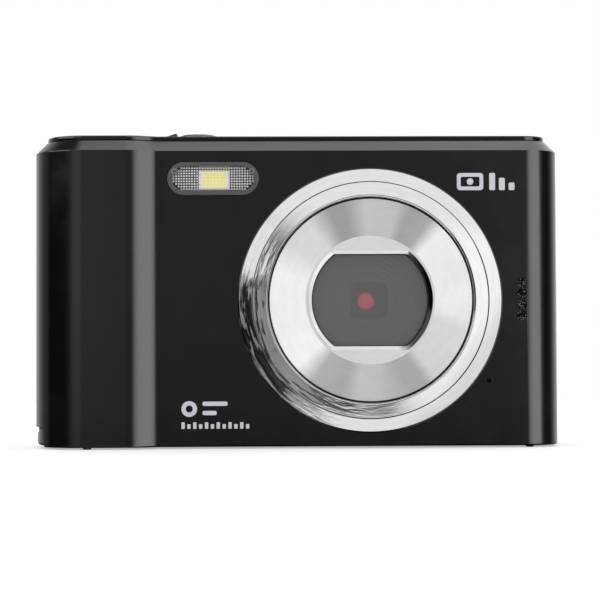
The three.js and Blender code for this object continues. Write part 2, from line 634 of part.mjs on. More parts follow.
function addNode(name, finish, solid) {
  const mesh = new THREE.Mesh(geometryOf(solid), new THREE.MeshStandardMaterial(FINISHES[finish]));
  mesh.name = name;
  camera.add(mesh);
}

addNode("front_shell", "shell", frontShell());
addNode("rear_shell", "shell", rearShell());
addNode("top_plate", "plate", topPlate());
addNode("strap_lug", "shell", strapLug());

addNode("lens_ring_outer", "chrome", lensRingOuter());
addNode("lens_ring_inner", "chrome", lensRingInner());
addNode("lens_dish", "satin", lensDish());
addNode("window_bezel", "satin", windowBezel());
addNode("lens_window", "glass", lensWindow());
addNode("baffle_cup", "black", baffleCup());
addNode("lens_barrel", "black", lensBarrel());
addNode("lens_front_element", "coated", lensFrontElement());
addNode("lens_rear_element", "clear", lensRearElement());
addNode("lens_holder", "black", lensHolder());
addNode("ir_filter", "coated", block(PUPIL_X - 3.5, PUPIL_X + 3.5, 0.2, 0.5, LENS_Z - 3.5, LENS_Z + 3.5));
addNode("image_sensor", "sensor", block(PUPIL_X - 3.5, PUPIL_X + 3.5, 0.7, 1.4, LENS_Z - 3, LENS_Z + 3));
addNode("sensor_board", "board", block(PUPIL_X - 9, PUPIL_X + 9, 1.6, 2.4, LENS_Z - 9, LENS_Z + 9));

addNode("flash_window", "clear", flashWindow());
addNode("flash_reflector", "white", flashReflector());
addNode("flash_led", "led", flashLed());
addNode("flash_board", "board", block(FLASH_X - 8, FLASH_X + 8, -2, -1.2, FLASH_Z - 2.8, FLASH_Z + 2.8));

addNode("shutter_button", "button", shutterButton());
addNode("power_button", "key", powerButton());
addNode("switch_board", "board", switchBoard());

addNode("right_key", "key", padKey(0));
addNode("up_key", "key", padKey(Math.PI / 2));
addNode("left_key", "key", padKey(Math.PI));
addNode("down_key", "key", padKey(Math.PI * 1.5));
addNode("ok_key", "button", okKey());
Object.entries(ROUND_KEYS).forEach(([name, centre]) => addNode(name, "key", roundKey(centre)));
addNode("zoom_rocker", "key", zoomRocker());
addNode("rocker_pin", "steel", rod("z", [ROCKER_X, ROCKER_PIVOT_Y], 0.45, ROCKER_Z - 4, ROCKER_Z + 4, 12));
addNode("key_board", "board", block(-44.2, -13.6, 6, 6.8, 4, 51));

const B = BATTERY;
addNode("battery", "battery", block(B.x0, B.x1, B.y0, B.y1, B.z0, B.z1));
addNode("battery_box", "black", batteryBox());
addNode("battery_contacts", "brass", batteryContacts());
addNode("battery_door", "shell", batteryDoor());
addNode("door_slider", "steel", doorSlider());
const PIN_ENDS = [DOOR_X0 - 1, DOOR_X1 + DOOR_TRAVEL + 1.6];
addNode("door_pin", "steel", rod("x", [PIN_Y, PIN_Z], PIN_R, PIN_ENDS[0], PIN_ENDS[1], 12));
addNode("card_socket", "steel", cardSocket());
addNode("memory_card", "card", memoryCard());

addNode("main_board", "board", block(-10.6, 43.4, 3, 3.9, 7.9, 52));
addNode("processor_chip", "chip", block(14, 26, 4, 4.7, 22, 34));
addNode("lcd_frame", "steel", lcdFrame());
addNode("lcd_panel", "screen", lcdPanel());
addNode("lcd_window", "screen", lcdWindow());
addNode("speaker", "steel", rod("y", [39.2, 27.5], 4, -5, -2.6, 20));
addNode("microphone", "steel", rod("y", [MIC_X, MIC_Z], 1.8, -5, -3.4, 16));
addNode("usb_port", "steel", usbPort());
addNode("tripod_bush", "steel", tripodBush());

Object.entries(SCREWS).forEach(([name, spec]) => addNode(name, "steel", screw(spec)));

export default camera;
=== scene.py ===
"""Looks of a compact digital camera, built round its CAD frame. Lengths are millimetres."""
import math

import bmesh
import bpy
from mathutils import Matrix, Vector


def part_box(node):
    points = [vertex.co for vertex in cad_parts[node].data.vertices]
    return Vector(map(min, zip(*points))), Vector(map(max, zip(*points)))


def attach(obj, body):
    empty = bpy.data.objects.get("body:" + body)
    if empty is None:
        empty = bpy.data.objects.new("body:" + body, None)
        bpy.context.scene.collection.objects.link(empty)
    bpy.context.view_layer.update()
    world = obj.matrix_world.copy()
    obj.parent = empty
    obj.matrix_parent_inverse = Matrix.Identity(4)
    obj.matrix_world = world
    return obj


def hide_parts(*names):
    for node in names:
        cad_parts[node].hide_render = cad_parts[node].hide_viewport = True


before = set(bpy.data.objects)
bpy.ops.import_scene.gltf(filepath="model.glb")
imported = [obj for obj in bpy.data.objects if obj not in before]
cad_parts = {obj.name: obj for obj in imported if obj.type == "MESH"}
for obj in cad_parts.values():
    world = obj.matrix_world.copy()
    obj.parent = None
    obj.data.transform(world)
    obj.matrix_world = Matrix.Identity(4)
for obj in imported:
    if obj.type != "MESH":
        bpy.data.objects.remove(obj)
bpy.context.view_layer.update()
MM = 0.001
BODY = "camera_body"

# Body outline and heights
HALF_WIDTH = 49
FRONT_Y = -6.8
GRIP_Y = -8.7
REAR_Y = 10.5
PART_Y = 2
GRIP_CORNER = 9.5
FRONT_CORNER = 6.5
REAR_CORNER = 4
GRIP_FLAT_END_X = -31.7
GRIP_SLOPE_TOP_X = -29.5
GRIP_SLOPE_X = -27.8
CREASE_X = -25.55
BASE_Z = 0.35
TOP_Z = 57.1
CHAMFER = 2.05
WALL = 1.6
PLATE_INSET = 2.25

# The power button's stem
POWER_X = -24.1

# Lens
LENS = (13.45, 27.25)
DISH_R = 11.88
DISH_Y = -8.9
WINDOW_R = 10.8
WINDOW_HALF_HEIGHT = 8.5
BEVEL = 0.7

# Where things stand on the front and on the back, as (x, z)
SPEAKER_HOLES = [(41.6, z) for z in (24.4, 26.4, 28.5, 30.5)]
PAD = (-30, 26)
ROUND_KEYS = ("mode_key", "delete_key", "menu_key", "playback_key")


# ---- mesh helpers

def node_box(name):
    """Lowest and highest corner of a CAD node in millimetres."""
    low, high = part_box(name)
    return [v / MM for v in low], [v / MM for v in high]


def node_centre(name):
    low, high = node_box(name)
    return [(a + b) / 2 for a, b in zip(low, high)]


def new_object(name, verts, faces):
    mesh = bpy.data.meshes.new(name)
    mesh.from_pydata([[c * MM for c in v] for v in verts], [], faces)
    bm = bmesh.new()
    bm.from_mesh(mesh)
    bmesh.ops.remove_doubles(bm, verts=bm.verts, dist=1e-7)
    bmesh.ops.recalc_face_normals(bm, faces=bm.faces)
    bm.to_mesh(mesh)
    bm.free()
    obj = bpy.data.objects.new(name, mesh)
    bpy.context.scene.collection.objects.link(obj)
    return obj


def loft(name, rings, capped=True, closed=False):
    """Skins a row of rings with equal numbers of points. closed joins the last ring to the first."""
    size = len(rings[0])
    verts = [p for ring in rings for p in ring]
    faces = []
    spans = len(rings) if closed else len(rings) - 1
    for level in range(spans):
        here = level * size
        there = ((level + 1) % len(rings)) * size
        for i in range(size):
            j = (i + 1) % size
            faces.append((here + i, here + j, there + j, there + i))
    if capped and not closed:
        faces.append(tuple(range(size)))
        faces.append(tuple(range(len(verts) - 1, len(verts) - size - 1, -1)))
    return new_object(name, verts, faces)


def rounded_profile(points, radius=0.15, steps=3):
    """Rounds every corner of a closed profile of pairs. A third value in a point is its own radius."""
    out = []
    count = len(points)
    for i, point in enumerate(points):
        here = Vector(point[:2])
        before = Vector(points[i - 1][:2])
        after = Vector(points[(i + 1) % count][:2])
        r = point[2] if len(point) > 2 else radius
        if r <= 0:
            out.append(tuple(here))
            continue
        to_before = (before - here).normalized()
        to_after = (after - here).normalized()
        reach = min(r, (before - here).length * 0.45, (after - here).length * 0.45)
        start = here + to_before * reach
        end = here + to_after * reach
        for k in range(steps + 1):
            t = k / steps
            out.append(tuple(start * (1 - t) ** 2 + here * (2 * t * (1 - t)) + end * t * t))
    return out


def turn_angles(steps):
    return [2 * math.pi * k / steps for k in range(steps)]


def on_circle(axis, centre, radius, along, angle):
    """A point at a radius and an angle about an axis."""
    a = centre[0] + radius * math.cos(angle)
    b = centre[1] + radius * math.sin(angle)
    return {"x": (along, a, b), "y": (a, along, b), "z": (a, b, along)}[axis]


def turned(name, profile, axis="y", centre=LENS, steps=144):
    """Turns a closed profile of (radius, position on the axis) about an axis."""
    rings = [[on_circle(axis, centre, r, along, angle) for r, along in profile]
             for angle in turn_angles(steps)]
    return loft(name, rings, closed=True)


def solid_turned(name, profile, axis="y", centre=LENS, steps=64):
    """Turns an open profile that starts and ends near the axis, with small caps there."""
    rings = [[on_circle(axis, centre, r, along, angle) for angle in turn_angles(steps)]
             for r, along in profile]
    return loft(name, rings)


def arc(cx, cz, r, start, end, steps):
    angles = [math.radians(start + (end - start) * k / steps) for k in range(steps + 1)]
    return [(cx + r * math.cos(a), cz + r * math.sin(a)) for a in angles]


def rounded_rect(x0, x1, z0, z1, r, steps=8):
    return (arc(x1 - r, z0 + r, r, -90, 0, steps) + arc(x1 - r, z1 - r, r, 0, 90, steps)
            + arc(x0 + r, z1 - r, r, 90, 180, steps) + arc(x0 + r, z0 + r, r, 180, 270, steps))


def slot_outline(x, z, length, height, steps=24):
    r = height / 2
    reach = length / 2 - r
    return arc(x + reach, z, r, -90, 90, steps) + arc(x - reach, z, r, 90, 270, steps)


def offset_outline(points, distance):
    """Moves every side of a counter-clockwise outline inwards by the distance."""
    out = []
    count = len(points)
    for i in range(count):
        here = Vector(points[i])
        arriving = (here - Vector(points[i - 1])).normalized()
        leaving = (Vector(points[(i + 1) % count]) - here).normalized()
        inward = Vector((-arriving.y - leaving.y, arriving.x + leaving.x)).normalized()
        reach = distance / max(0.3, inward.dot(Vector((-arriving.y, arriving.x))))
        out.append(tuple(here + inward * reach))
    return out


def clean_outline(points):
    """Drops points that the next one repeats."""
    following = points[1:] + points[:1]
    return [p for p, q in zip(points, following) if (Vector(p) - Vector(q)).length > 1e-4]


def pillow(name, outline, levels, plane="xz"):
    """Lofts an outline through (position, inset) levels, along Y for an xz outline, Z for an xy one."""
    outline = clean_outline(outline)
    rings = []
    for along, inset in levels:
        points = offset_outline(outline, inset) if inset else outline
        rings.append([(a, along, b) if plane == "xz" else (a, b, along) for a, b in points])
    return loft(name, rings)


def prism(outline, low, high, name="cutter"):
    """An xz outline drawn out along Y."""
    return pillow(name, outline, [(low, 0), (high, 0)])


def box_object(name, low, high, edge=0.1):
    """A block with rounded edges."""
    outline = rounded_rect(low[0], high[0], low[2], high[2], max(edge, 0.01), 3)
    return pillow(name, outline, [
        (low[1], edge), (low[1] + edge * 0.4, edge * 0.3), (low[1] + edge, 0),
        (high[1] - edge, 0), (high[1] - edge * 0.4, edge * 0.3), (high[1], edge)])


def bake(obj):
    """Applies the object's modifiers to its mesh."""
    graph = bpy.context.evaluated_depsgraph_get()
    mesh = bpy.data.meshes.new_from_object(obj.evaluated_get(graph))
    obj.modifiers.clear()
    obj.data = mesh


def combine(target, others, operation):
    """Cuts, joins or intersects a mesh with others, which are used up."""
    for other in others:
        modifier = target.modifiers.new("combine", "BOOLEAN")
        modifier.operation = operation
        modifier.solver = "EXACT"
        modifier.object = other
    bake(target)
    for other in others:
        bpy.data.objects.remove(other, do_unlink=True)


def merge(name, objects):
    """Joins separate meshes into one object without a boolean."""
    bm = bmesh.new()
    for obj in objects:
        bm.from_mesh(obj.data)
        bpy.data.objects.remove(obj, do_unlink=True)
    mesh = bpy.data.meshes.new(name)
    bm.to_mesh(mesh)
    bm.free()
    joined = bpy.data.objects.new(name, mesh)
    bpy.context.scene.collection.objects.link(joined)
    return joined


def round_edges(obj, width, angle):
    modifier = obj.modifiers.new("edge", "BEVEL")
    modifier.width = width * MM
    modifier.segments = 2
    modifier.limit_method = "ANGLE"
    modifier.angle_limit = math.radians(angle)


def place(obj, angle, material, body=BODY, replaces=(), bevel=0):
    """Finishes a piece: smooth shading with edges crisp above the angle, narrowly rounded ones if a
    bevel is asked for, its material, its body and the CAD nodes that it stands for."""
    if bevel:
        round_edges(obj, bevel, angle)
        bake(obj)
    obj.data.shade_smooth()
    obj.data.set_sharp_from_angle(angle=math.radians(angle))
    obj.modifiers.new("normals", "WEIGHTED_NORMAL").keep_sharp = True
    obj.data.materials.clear()
    obj.data.materials.append(material)
    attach(obj, body)
    if replaces:
        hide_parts(*replaces)


# ---- materials

def feed(tree, node, inputs):
    """Sets a node's inputs to values, or links them to outputs."""
    for name, value in inputs.items():
        if isinstance(value, bpy.types.NodeSocket):
            tree.links.new(value, node.inputs[name])
        else:
            node.inputs[name].default_value = value
    return node


def add_node(tree, kind, inputs=None, **settings):
    node = tree.nodes.new("ShaderNode" + kind)
    for key, value in settings.items():
        setattr(node, key, value)
    return feed(tree, node, inputs or {})


def shader(name, color, roughness, metallic=0.0):
    material = bpy.data.materials.new(name)
    material.use_nodes = True
    tree = material.node_tree
    inputs = {"Base Color": (*color, 1), "Roughness": roughness, "Metallic": metallic}
    return material, tree, feed(tree, tree.nodes["Principled BSDF"], inputs)


def object_coordinates(tree):
    return add_node(tree, "TexCoord").outputs["Object"]


def noise_at(tree, coordinates, scale):
    """Noise with a scale in features per millimetre."""
    inputs = {"Scale": scale / MM, "Detail": 3, "Vector": coordinates}
    return add_node(tree, "TexNoise", inputs).outputs["Fac"]


def mapped(tree, value, low, high, out_low, out_high, kind="LINEAR"):
    inputs = {"Value": value, "From Min": low, "From Max": high, "To Min": out_low, "To Max": out_high}
    return add_node(tree, "MapRange", inputs, interpolation_type=kind).outputs["Result"]


def easing(tree, value, start, end):
    """0 at start, 1 at end, with soft ends."""
    rising = float(start < end)
    return mapped(tree, value, min(start, end), max(start, end), 1 - rising, rising, "SMOOTHSTEP")


def ramp(tree, value, stops):
    """Colours between (position, colour) stops."""
    node = add_node(tree, "ValToRGB", {"Fac": value})
    elements = node.color_ramp.elements
    elements.remove(elements[1])
    for index, (position, color) in enumerate(stops):
        element = elements[0] if index == 0 else elements.new(position)
        element.position = position
        element.color = (*color, 1)
    return node.outputs["Color"]


def two_tone(tree, value, dark, light, low=0.35, high=0.65):
    return ramp(tree, value, [(low, dark), (high, light)])


def math_node(tree, operation, *values):
    return add_node(tree, "Math", dict(enumerate(values)), operation=operation).outputs[0]


def product(tree, first, second):
    return math_node(tree, "MULTIPLY", first, second)


def vector_math(tree, operation, *values):
    return add_node(tree, "VectorMath", dict(enumerate(values)), operation=operation)


def blend(tree, share, low, high):
    """low where share is 0, high where it is 1."""
    rest = math_node(tree, "SUBTRACT", 1, share)
    return math_node(tree, "ADD", product(tree, rest, low), product(tree, share, high))


def bump_from(tree, bsdf, height, depth, strength=1.0):
    """Surface relief from a 0 to 1 height, with its depth in millimetres."""
    bump = add_node(tree, "Bump", {"Strength": strength, "Distance": depth * MM, "Height": height})
    feed(tree, bsdf, {"Normal": bump.outputs["Normal"]})


def grained(name, color, roughness, metallic=0.0, scale=4.0, depth=0.004, spread=0.05, tint=0.08, coat=0.0):
    """A moulded or plated finish: fine grain in relief, roughness and tone."""
    material, tree, bsdf = shader(name, color, roughness, metallic)
    coordinates = object_coordinates(tree)
    fine = noise_at(tree, coordinates, scale)
    broad = noise_at(tree, coordinates, scale * 0.04)
    dark = [c * (1 - tint) for c in color]
    light = [min(1.0, c * (1 + tint)) for c in color]
    feed(tree, bsdf, {
        "Roughness": mapped(tree, broad, 0.3, 0.7, roughness - spread, roughness + spread),
        "Base Color": two_tone(tree, fine, dark, light), "Coat Weight": coat, "Coat Roughness": 0.08})
    bump_from(tree, bsdf, fine, depth)
    return material


def across_lens(tree, coordinates, centre=LENS):
    """Offset from the lens axis, or from another axis along Y, in millimetres."""
    shift = vector_math(tree, "SUBTRACT", coordinates, (centre[0] * MM, 0, centre[1] * MM))
    return vector_math(tree, "MULTIPLY", shift.outputs[0], (1 / MM, 0, 1 / MM)).outputs[0]


def radius_from_lens(tree, coordinates, centre=LENS):
    return vector_math(tree, "LENGTH", across_lens(tree, coordinates, centre)).outputs["Value"]


def polar_noise(tree, coordinates, per_mm, per_turn):
    """Noise drawn out along circles about the lens axis."""
    offset = across_lens(tree, coordinates)
    heading = vector_math(tree, "NORMALIZE", offset).outputs[0]
    around = vector_math(tree, "MULTIPLY", heading, (per_turn, 0, per_turn)).outputs[0]
    radius = vector_math(tree, "LENGTH", offset).outputs["Value"]
    outward = add_node(tree, "CombineXYZ", {"Y": product(tree, radius, per_mm)}).outputs[0]
    spot = vector_math(tree, "ADD", around, outward).outputs[0]
    return add_node(tree, "TexNoise", {"Scale": 1, "Detail": 2, "Vector": spot}).outputs["Fac"]


def plated_ring_painted_shade(name, color, roughness):
    """Bright plating with waves and hazy streaks at the lower left, and painted shade: its colour is darkened
    towards the lower right, standing in for a darker reflection there.
    """
    material, tree, bsdf = shader(name, color, roughness, 1.0)
    coordinates = object_coordinates(tree)
    waves = polar_noise(tree, coordinates, 1.5, 6)
    offset = across_lens(tree, coordinates)
    low_left = vector_math(tree, "DOT_PRODUCT", offset, (-0.9, 0, -0.43)).outputs["Value"]
    low_right = vector_math(tree, "DOT_PRODUCT", offset, (0.8, 0, -0.6)).outputs["Value"]
    inward = math_node(tree, "SUBTRACT", 21.7, radius_from_lens(tree, coordinates))
    more = product(tree, math_node(tree, "MAXIMUM", inward, 0), 0.09)
    streaks = math_node(tree, "ADD", polar_noise(tree, coordinates, 1.6, 4), more)
    hazy = product(tree, easing(tree, streaks, 0.5, 0.58), easing(tree, low_left, 15, 19))
    bright = two_tone(tree, waves, [c * 0.95 for c in color], color)
    # Painted shade: the plating's colour darkens towards the lower right.
    painted_shade_lower_right = blend(tree, easing(tree, low_right, 17.5, 23), 1, 0.76)
    feed(tree, bsdf, {"Roughness": blend(tree, hazy, roughness, 0.5),
                      "Base Color": vector_math(tree, "MULTIPLY", bright, painted_shade_lower_right).outputs[0]})
    depth = blend(tree, easing(tree, low_left, 6, 20), 0.25, 1)
    bump_from(tree, bsdf, product(tree, waves, depth), 0.07)
    return material


def angle_round_lens(tree, coordinates):
    """Angle about the lens axis as a share of a turn, 0 at +X and a quarter at +Z."""
    split = add_node(tree, "SeparateXYZ", {0: across_lens(tree, coordinates)})
    turn = math_node(tree, "DEGREES", math_node(tree, "ARCTAN2", split.outputs["Z"], split.outputs["X"]))
    return math_node(tree, "DIVIDE", math_node(tree, "MODULO", math_node(tree, "ADD", turn, 360), 360), 360)


def turned_metal(name, color, roughness, anisotropy, painted_sectors=(), metallic=0.5):
    """Metal finished on a lathe: fine circular lines, and painted sectors of (angle, lightness) that paint
    highlights and shade into its colour by angle.
    """
    material, tree, bsdf = shader(name, color, roughness, metallic)
    coordinates = object_coordinates(tree)
    inputs = {"Scale": 9, "Detail": 4, "W": radius_from_lens(tree, coordinates)}
    lines = add_node(tree, "TexNoise", inputs, noise_dimensions="1D").outputs["Fac"]
    grain = product(tree, polar_noise(tree, coordinates, 0.9, 5), 0.7)
    fine = math_node(tree, "ADD", product(tree, lines, 0.3), grain)
    tone = two_tone(tree, fine, [c * 0.94 for c in color], color)
    # Painted highlights and shade: the sectors lighten or darken the colour by angle round the lens.
    if painted_sectors:
        stops = [(angle / 360, (level, level, level)) for angle, level in painted_sectors]
        painted_fans = ramp(tree, angle_round_lens(tree, coordinates), stops)
        tone = vector_math(tree, "MULTIPLY", tone, painted_fans).outputs[0]
    tangent = add_node(tree, "Tangent", direction_type="RADIAL", axis="Y").outputs["Tangent"]
    feed(tree, bsdf, {
        "Roughness": mapped(tree, lines, 0.3, 0.7, roughness - 0.05, roughness + 0.05), "Base Color": tone,
        "Anisotropic": anisotropy, "Anisotropic Rotation": 0.25, "Tangent": tangent})
    bump_from(tree, bsdf, lines, 0.0006, 0.4)
    return material


def clear_glass(name, color, alpha, roughness=0.04):
    """Thin clear window. Faint dust varies its gloss."""
    material, tree, bsdf = shader(name, color, roughness)
    dust = noise_at(tree, object_coordinates(tree), 0.6)
    gloss = mapped(tree, dust, 0.3, 0.8, roughness * 0.6, roughness * 1.6)
    feed(tree, bsdf, {"Roughness": gloss, "Alpha": alpha})
    return material


def circuit_board(name):
    """Green board with lighter copper tracks under the lacquer."""
    material, tree, bsdf = shader(name, (0.02, 0.11, 0.05), 0.35)
    turn = add_node(tree, "Mapping", {
        "Rotation": (math.radians(90), 0, 0), "Vector": object_coordinates(tree)})
    bricks = add_node(tree, "TexBrick", {
        "Scale": 0.45 / MM, "Mortar Size": 0.07, "Color1": (0.018, 0.10, 0.045, 1),
        "Color2": (0.022, 0.12, 0.055, 1), "Mortar": (0.06, 0.26, 0.11, 1), "Vector": turn.outputs["Vector"]})
    feed(tree, bsdf, {"Base Color": bricks.outputs["Color"]})
    bump_from(tree, bsdf, bricks.outputs["Fac"], 0.02, 0.5)
    return material


def cells(tree, per_mm, randomness):
    """Distance from the middle of the nearest cell."""
    inputs = {"Scale": per_mm / MM, "Randomness": randomness, "Vector": object_coordinates(tree)}
    return add_node(tree, "TexVoronoi", inputs).outputs["Distance"]


def painted_glow_cells(name, middle, border, glow):
    """Cells of the flash LED, a little brighter than their borders, with a painted glow: emission stands in
    for the studio light on the LED and its carrier.
    """
    material, tree, bsdf = shader(name, middle, 0.5)
    tone = two_tone(tree, cells(tree, 1.6, 0.1), middle, border, 0.2, 0.6)
    # Painted glow: emission brightens these parts though the carrier is no lamp.
    feed(tree, bsdf, {"Base Color": tone, "Emission Color": tone, "Emission Strength": glow})
    return material


def woven_mesh(name):
    """Black cloth with a grey speck where its threads cross."""
    material, tree, bsdf = shader(name, (0.002, 0.002, 0.002), 0.8)
    distance = cells(tree, 2.3, 0.6)
    tone = two_tone(tree, distance, (0.16, 0.16, 0.162), (0.001, 0.001, 0.001), 0.12, 0.42)
    feed(tree, bsdf, {"Base Color": tone, "Specular IOR Level": 0.1})
    bump_from(tree, bsdf, distance, 0.03)
    return material


def glass_with_painted_glow(name, color):
    """A lens element with a painted pink glow, standing in for the light its coating reflects, the glow a
    little paler in the middle.
    """
    material, tree, bsdf = shader(name, color, 0.1)
    middle = node_centre("lens_front_element")[::2]
    radius = radius_from_lens(tree, object_coordinates(tree), middle)
    # Painted glow: emission makes the lens glow pink though it is no lamp.
    feed(tree, bsdf, {
        "Emission Color": two_tone(tree, radius, (1, 0.06, 0.16), (0.85, 0.01, 0.1), 0.5, 1.5),
        "Base Color": two_tone(tree, radius, color, [c * 0.8 for c in color], 0.5, 1.5),
        "Emission Strength": 0.38})
    return material


SHELL = grained("satin_black_shell", (0.11, 0.11, 0.112), 0.13, 1, 5, 0.0012, spread=0.03, tint=0.05)
PLATE = grained("polished_top_plate", (0.09, 0.09, 0.093), 0.12, 1, 3, 0.0008, spread=0.03, tint=0.04)
CHROME = plated_ring_painted_shade("plated_ring_painted_shade", (0.57, 0.57, 0.575), 0.08)
# Lightness of the dish round the lens, by angle: painted highlights and painted shade, standing in for the
# bright and dark wedges its turned finish reflects
DISH_PAINTED_LIGHT = [
    (0, 1), (44, 1), (53, 0.46), (66, 0.4), (74, 0.58), (93, 0.58), (106, 0.36), (115, 0.35), (129, 0.7),
    (144, 0.71), (163, 0.92), (222, 0.94), (234, 0.46), (252, 0.41), (262, 0.56), (276, 0.53), (292, 0.41),
    (303, 0.41), (310, 0.67), (342, 0.75), (352, 0.94), (360, 1),
]
DISH = turned_metal("turned_dish_painted_light", (1, 1, 0.99), 0.55, 0.7, DISH_PAINTED_LIGHT)
BEZEL = turned_metal("turned_bezel", (0.68, 0.68, 0.67), 0.6, 0.2)
# Painted shade: the polished bevel's colour is darkened on the right, standing in for a dark reflection there
BEVEL_PAINTED_SHADE = [(0, 0.08), (22, 0.1), (36, 1), (300, 1), (312, 0.1), (350, 0.08), (360, 0.08)]
POLISHED = turned_metal("polished_bevel_painted_shade", (0.57, 0.57, 0.575), 0.1, 0, BEVEL_PAINTED_SHADE, metallic=1.0)
WINDOW = clear_glass("lens_glass", (0.2, 0.2, 0.205), 0.3)
BAFFLE = grained("matt_baffle", (0.08, 0.08, 0.082), 0.6, scale=6, depth=0.004)
BLACK = grained("matt_black", (0.02, 0.02, 0.021), 0.55, scale=5, depth=0.004)
PAINTED_GLOW_GLASS = glass_with_painted_glow("pink_coating_painted_glow", (0.3, 0.05, 0.08))
BUTTON = grained("satin_grey_button", (0.15, 0.15, 0.153), 0.3, 1.0, scale=6, depth=0.001)
KEY = grained("dark_key", (0.05, 0.05, 0.053), 0.32, 0.0, scale=6, depth=0.002, coat=0.3)
STEEL = grained("plain_steel", (0.55, 0.55, 0.57), 0.3, 1.0, scale=2, depth=0.002)
BRASS = grained("plated_contacts", (0.75, 0.55, 0.25), 0.28, 1.0, scale=3, depth=0.001)
BOARD = circuit_board("circuit_board")
CHIP = grained("chip_package", (0.018, 0.018, 0.02), 0.5, scale=8, depth=0.006)
SENSOR = grained("sensor_glass", (0.06, 0.04, 0.12), 0.1, scale=2, depth=0.0004)
LED = painted_glow_cells("led_phosphor", (0.95, 0.9, 0.42), (0.7, 0.66, 0.3), 0.95)
CARRIER_PAINTED_GLOW = painted_glow_cells("led_carrier", (0.9, 0.88, 0.78), (0.75, 0.73, 0.65), 0.7)
CLEAR = clear_glass("flash_glass", (0.03, 0.03, 0.03), 0.12, 0.05)
SMOKE = clear_glass("flash_rim", (0.085, 0.085, 0.088), 0.85, 0.12)
POST = clear_glass("flash_posts", (0.17, 0.17, 0.175), 0.85, 0.2)
PRISM = clear_glass("flash_prisms", (0.62, 0.62, 0.64), 0.85, 0.3)
TRAY = grained("flash_tray_plating", (0.16, 0.16, 0.155), 0.35, 0.5, depth=0.001, tint=0.03)
SCREEN = grained("screen_glass", (0.004, 0.004, 0.006), 0.06, 0, 0.4, 0.0002, 0.01, 0.1, 0.5)
DISPLAY = grained("display_glass", (0.012, 0.014, 0.02), 0.1, 0, 0.4, 0.0002, 0.02, 0.1)
CELL = grained("battery_sleeve", (0.05, 0.055, 0.06), 0.45, scale=3, depth=0.002)
CARD = grained("memory_card_case", (0.02, 0.05, 0.16), 0.5, scale=6, depth=0.003)
MESH = woven_mesh("speaker_cloth")
INK = grained("pale_ink", (0.45, 0.47, 0.51), 0.5, scale=8, depth=0.001, tint=0.05)


# ---- case

def body_outline(steps=20):
    """The body seen from above, counter-clockwise from the grip side."""
    slope = (FRONT_Y - GRIP_Y) / (CREASE_X - GRIP_SLOPE_TOP_X)
    slope_y = GRIP_Y + (GRIP_SLOPE_X - GRIP_SLOPE_TOP_X) * slope
    points = arc(-HALF_WIDTH + GRIP_CORNER, GRIP_Y + GRIP_CORNER, GRIP_CORNER, 180, 270, steps + 8)
    for k in range(steps // 2 + 1):
        t = 2 * k / steps
        x = GRIP_FLAT_END_X * (1 - t) ** 2 + GRIP_SLOPE_TOP_X * 2 * t * (1 - t) + GRIP_SLOPE_X * t * t
        y = GRIP_Y * (1 - t) ** 2 + GRIP_Y * 2 * t * (1 - t) + slope_y * t * t
        points.append((x, y))
    points.append((CREASE_X, FRONT_Y))
    points += arc(HALF_WIDTH - FRONT_CORNER, FRONT_Y + FRONT_CORNER, FRONT_CORNER, -90, 0, steps)
    points += arc(HALF_WIDTH - REAR_CORNER, REAR_Y - REAR_CORNER, REAR_CORNER, 0, 90, steps // 2 + 2)
    points += arc(-HALF_WIDTH + REAR_CORNER, REAR_Y - REAR_CORNER, REAR_CORNER, 90, 180, steps // 2 + 2)
    return points


def body_block(name, shrink):
    """The body as a block shrunk on every side, with its top chamfer and softened edges."""
    edge = CHAMFER + shrink * (math.sqrt(2) - 1)
    chamfer_z = TOP_Z - CHAMFER - shrink * (math.sqrt(2) - 1)
    base = BASE_Z + shrink
    top = TOP_Z - shrink
    levels = [(base, shrink + 0.35), (base + 0.04, shrink + 0.18), (base + 0.15, shrink + 0.05),
              (base + 0.35, shrink), (chamfer_z - 0.15, shrink), (chamfer_z + 0.02, shrink + 0.03),
              (chamfer_z + 0.14, shrink + 0.14), (top - 0.14, edge - 0.14), (top - 0.03, edge - 0.01),
              (top, edge + 0.12)]
    return pillow(name, body_outline(), levels, plane="xy")


def cutter_rod(axis, centre, radius, start, end, steps=32):
    return solid_turned("cutter", [(radius, start), (radius, end)], axis, centre, steps)


def cutter_box(low, high):
    return box_object("cutter", low, high, 0)


SCREW_NODES = {
    "screw_base_left": ("z", 1), "screw_base_right": ("z", 1), "screw_side_low": ("x", -1),
    "screw_side_high": ("x", -1), "screw_grip_side": ("x", 1),
}


def screw_place(name):
    """(axis, centre across the axis, head end, way the shank runs) of a case screw."""
    axis, way = SCREW_NODES[name]
    low, high = node_box(name)
    middle = node_centre(name)
    along = 2 if axis == "z" else 0
    head = low[along] if way > 0 else high[along]
    centre = (middle[0], middle[1]) if axis == "z" else (middle[1], middle[2])
    return axis, centre, head, way


def button_wells(start, steps):
    """Cutters for the two top buttons."""
    low, high = node_box("power_button")
    return [cutter_rod("z", node_centre("shutter_button")[:2], 3.9, start, 60, steps),
            cutter_box((low[0] - 0.2, low[1] - 0.2, start), (high[0] + 0.2, high[1] + 0.2, 60))]


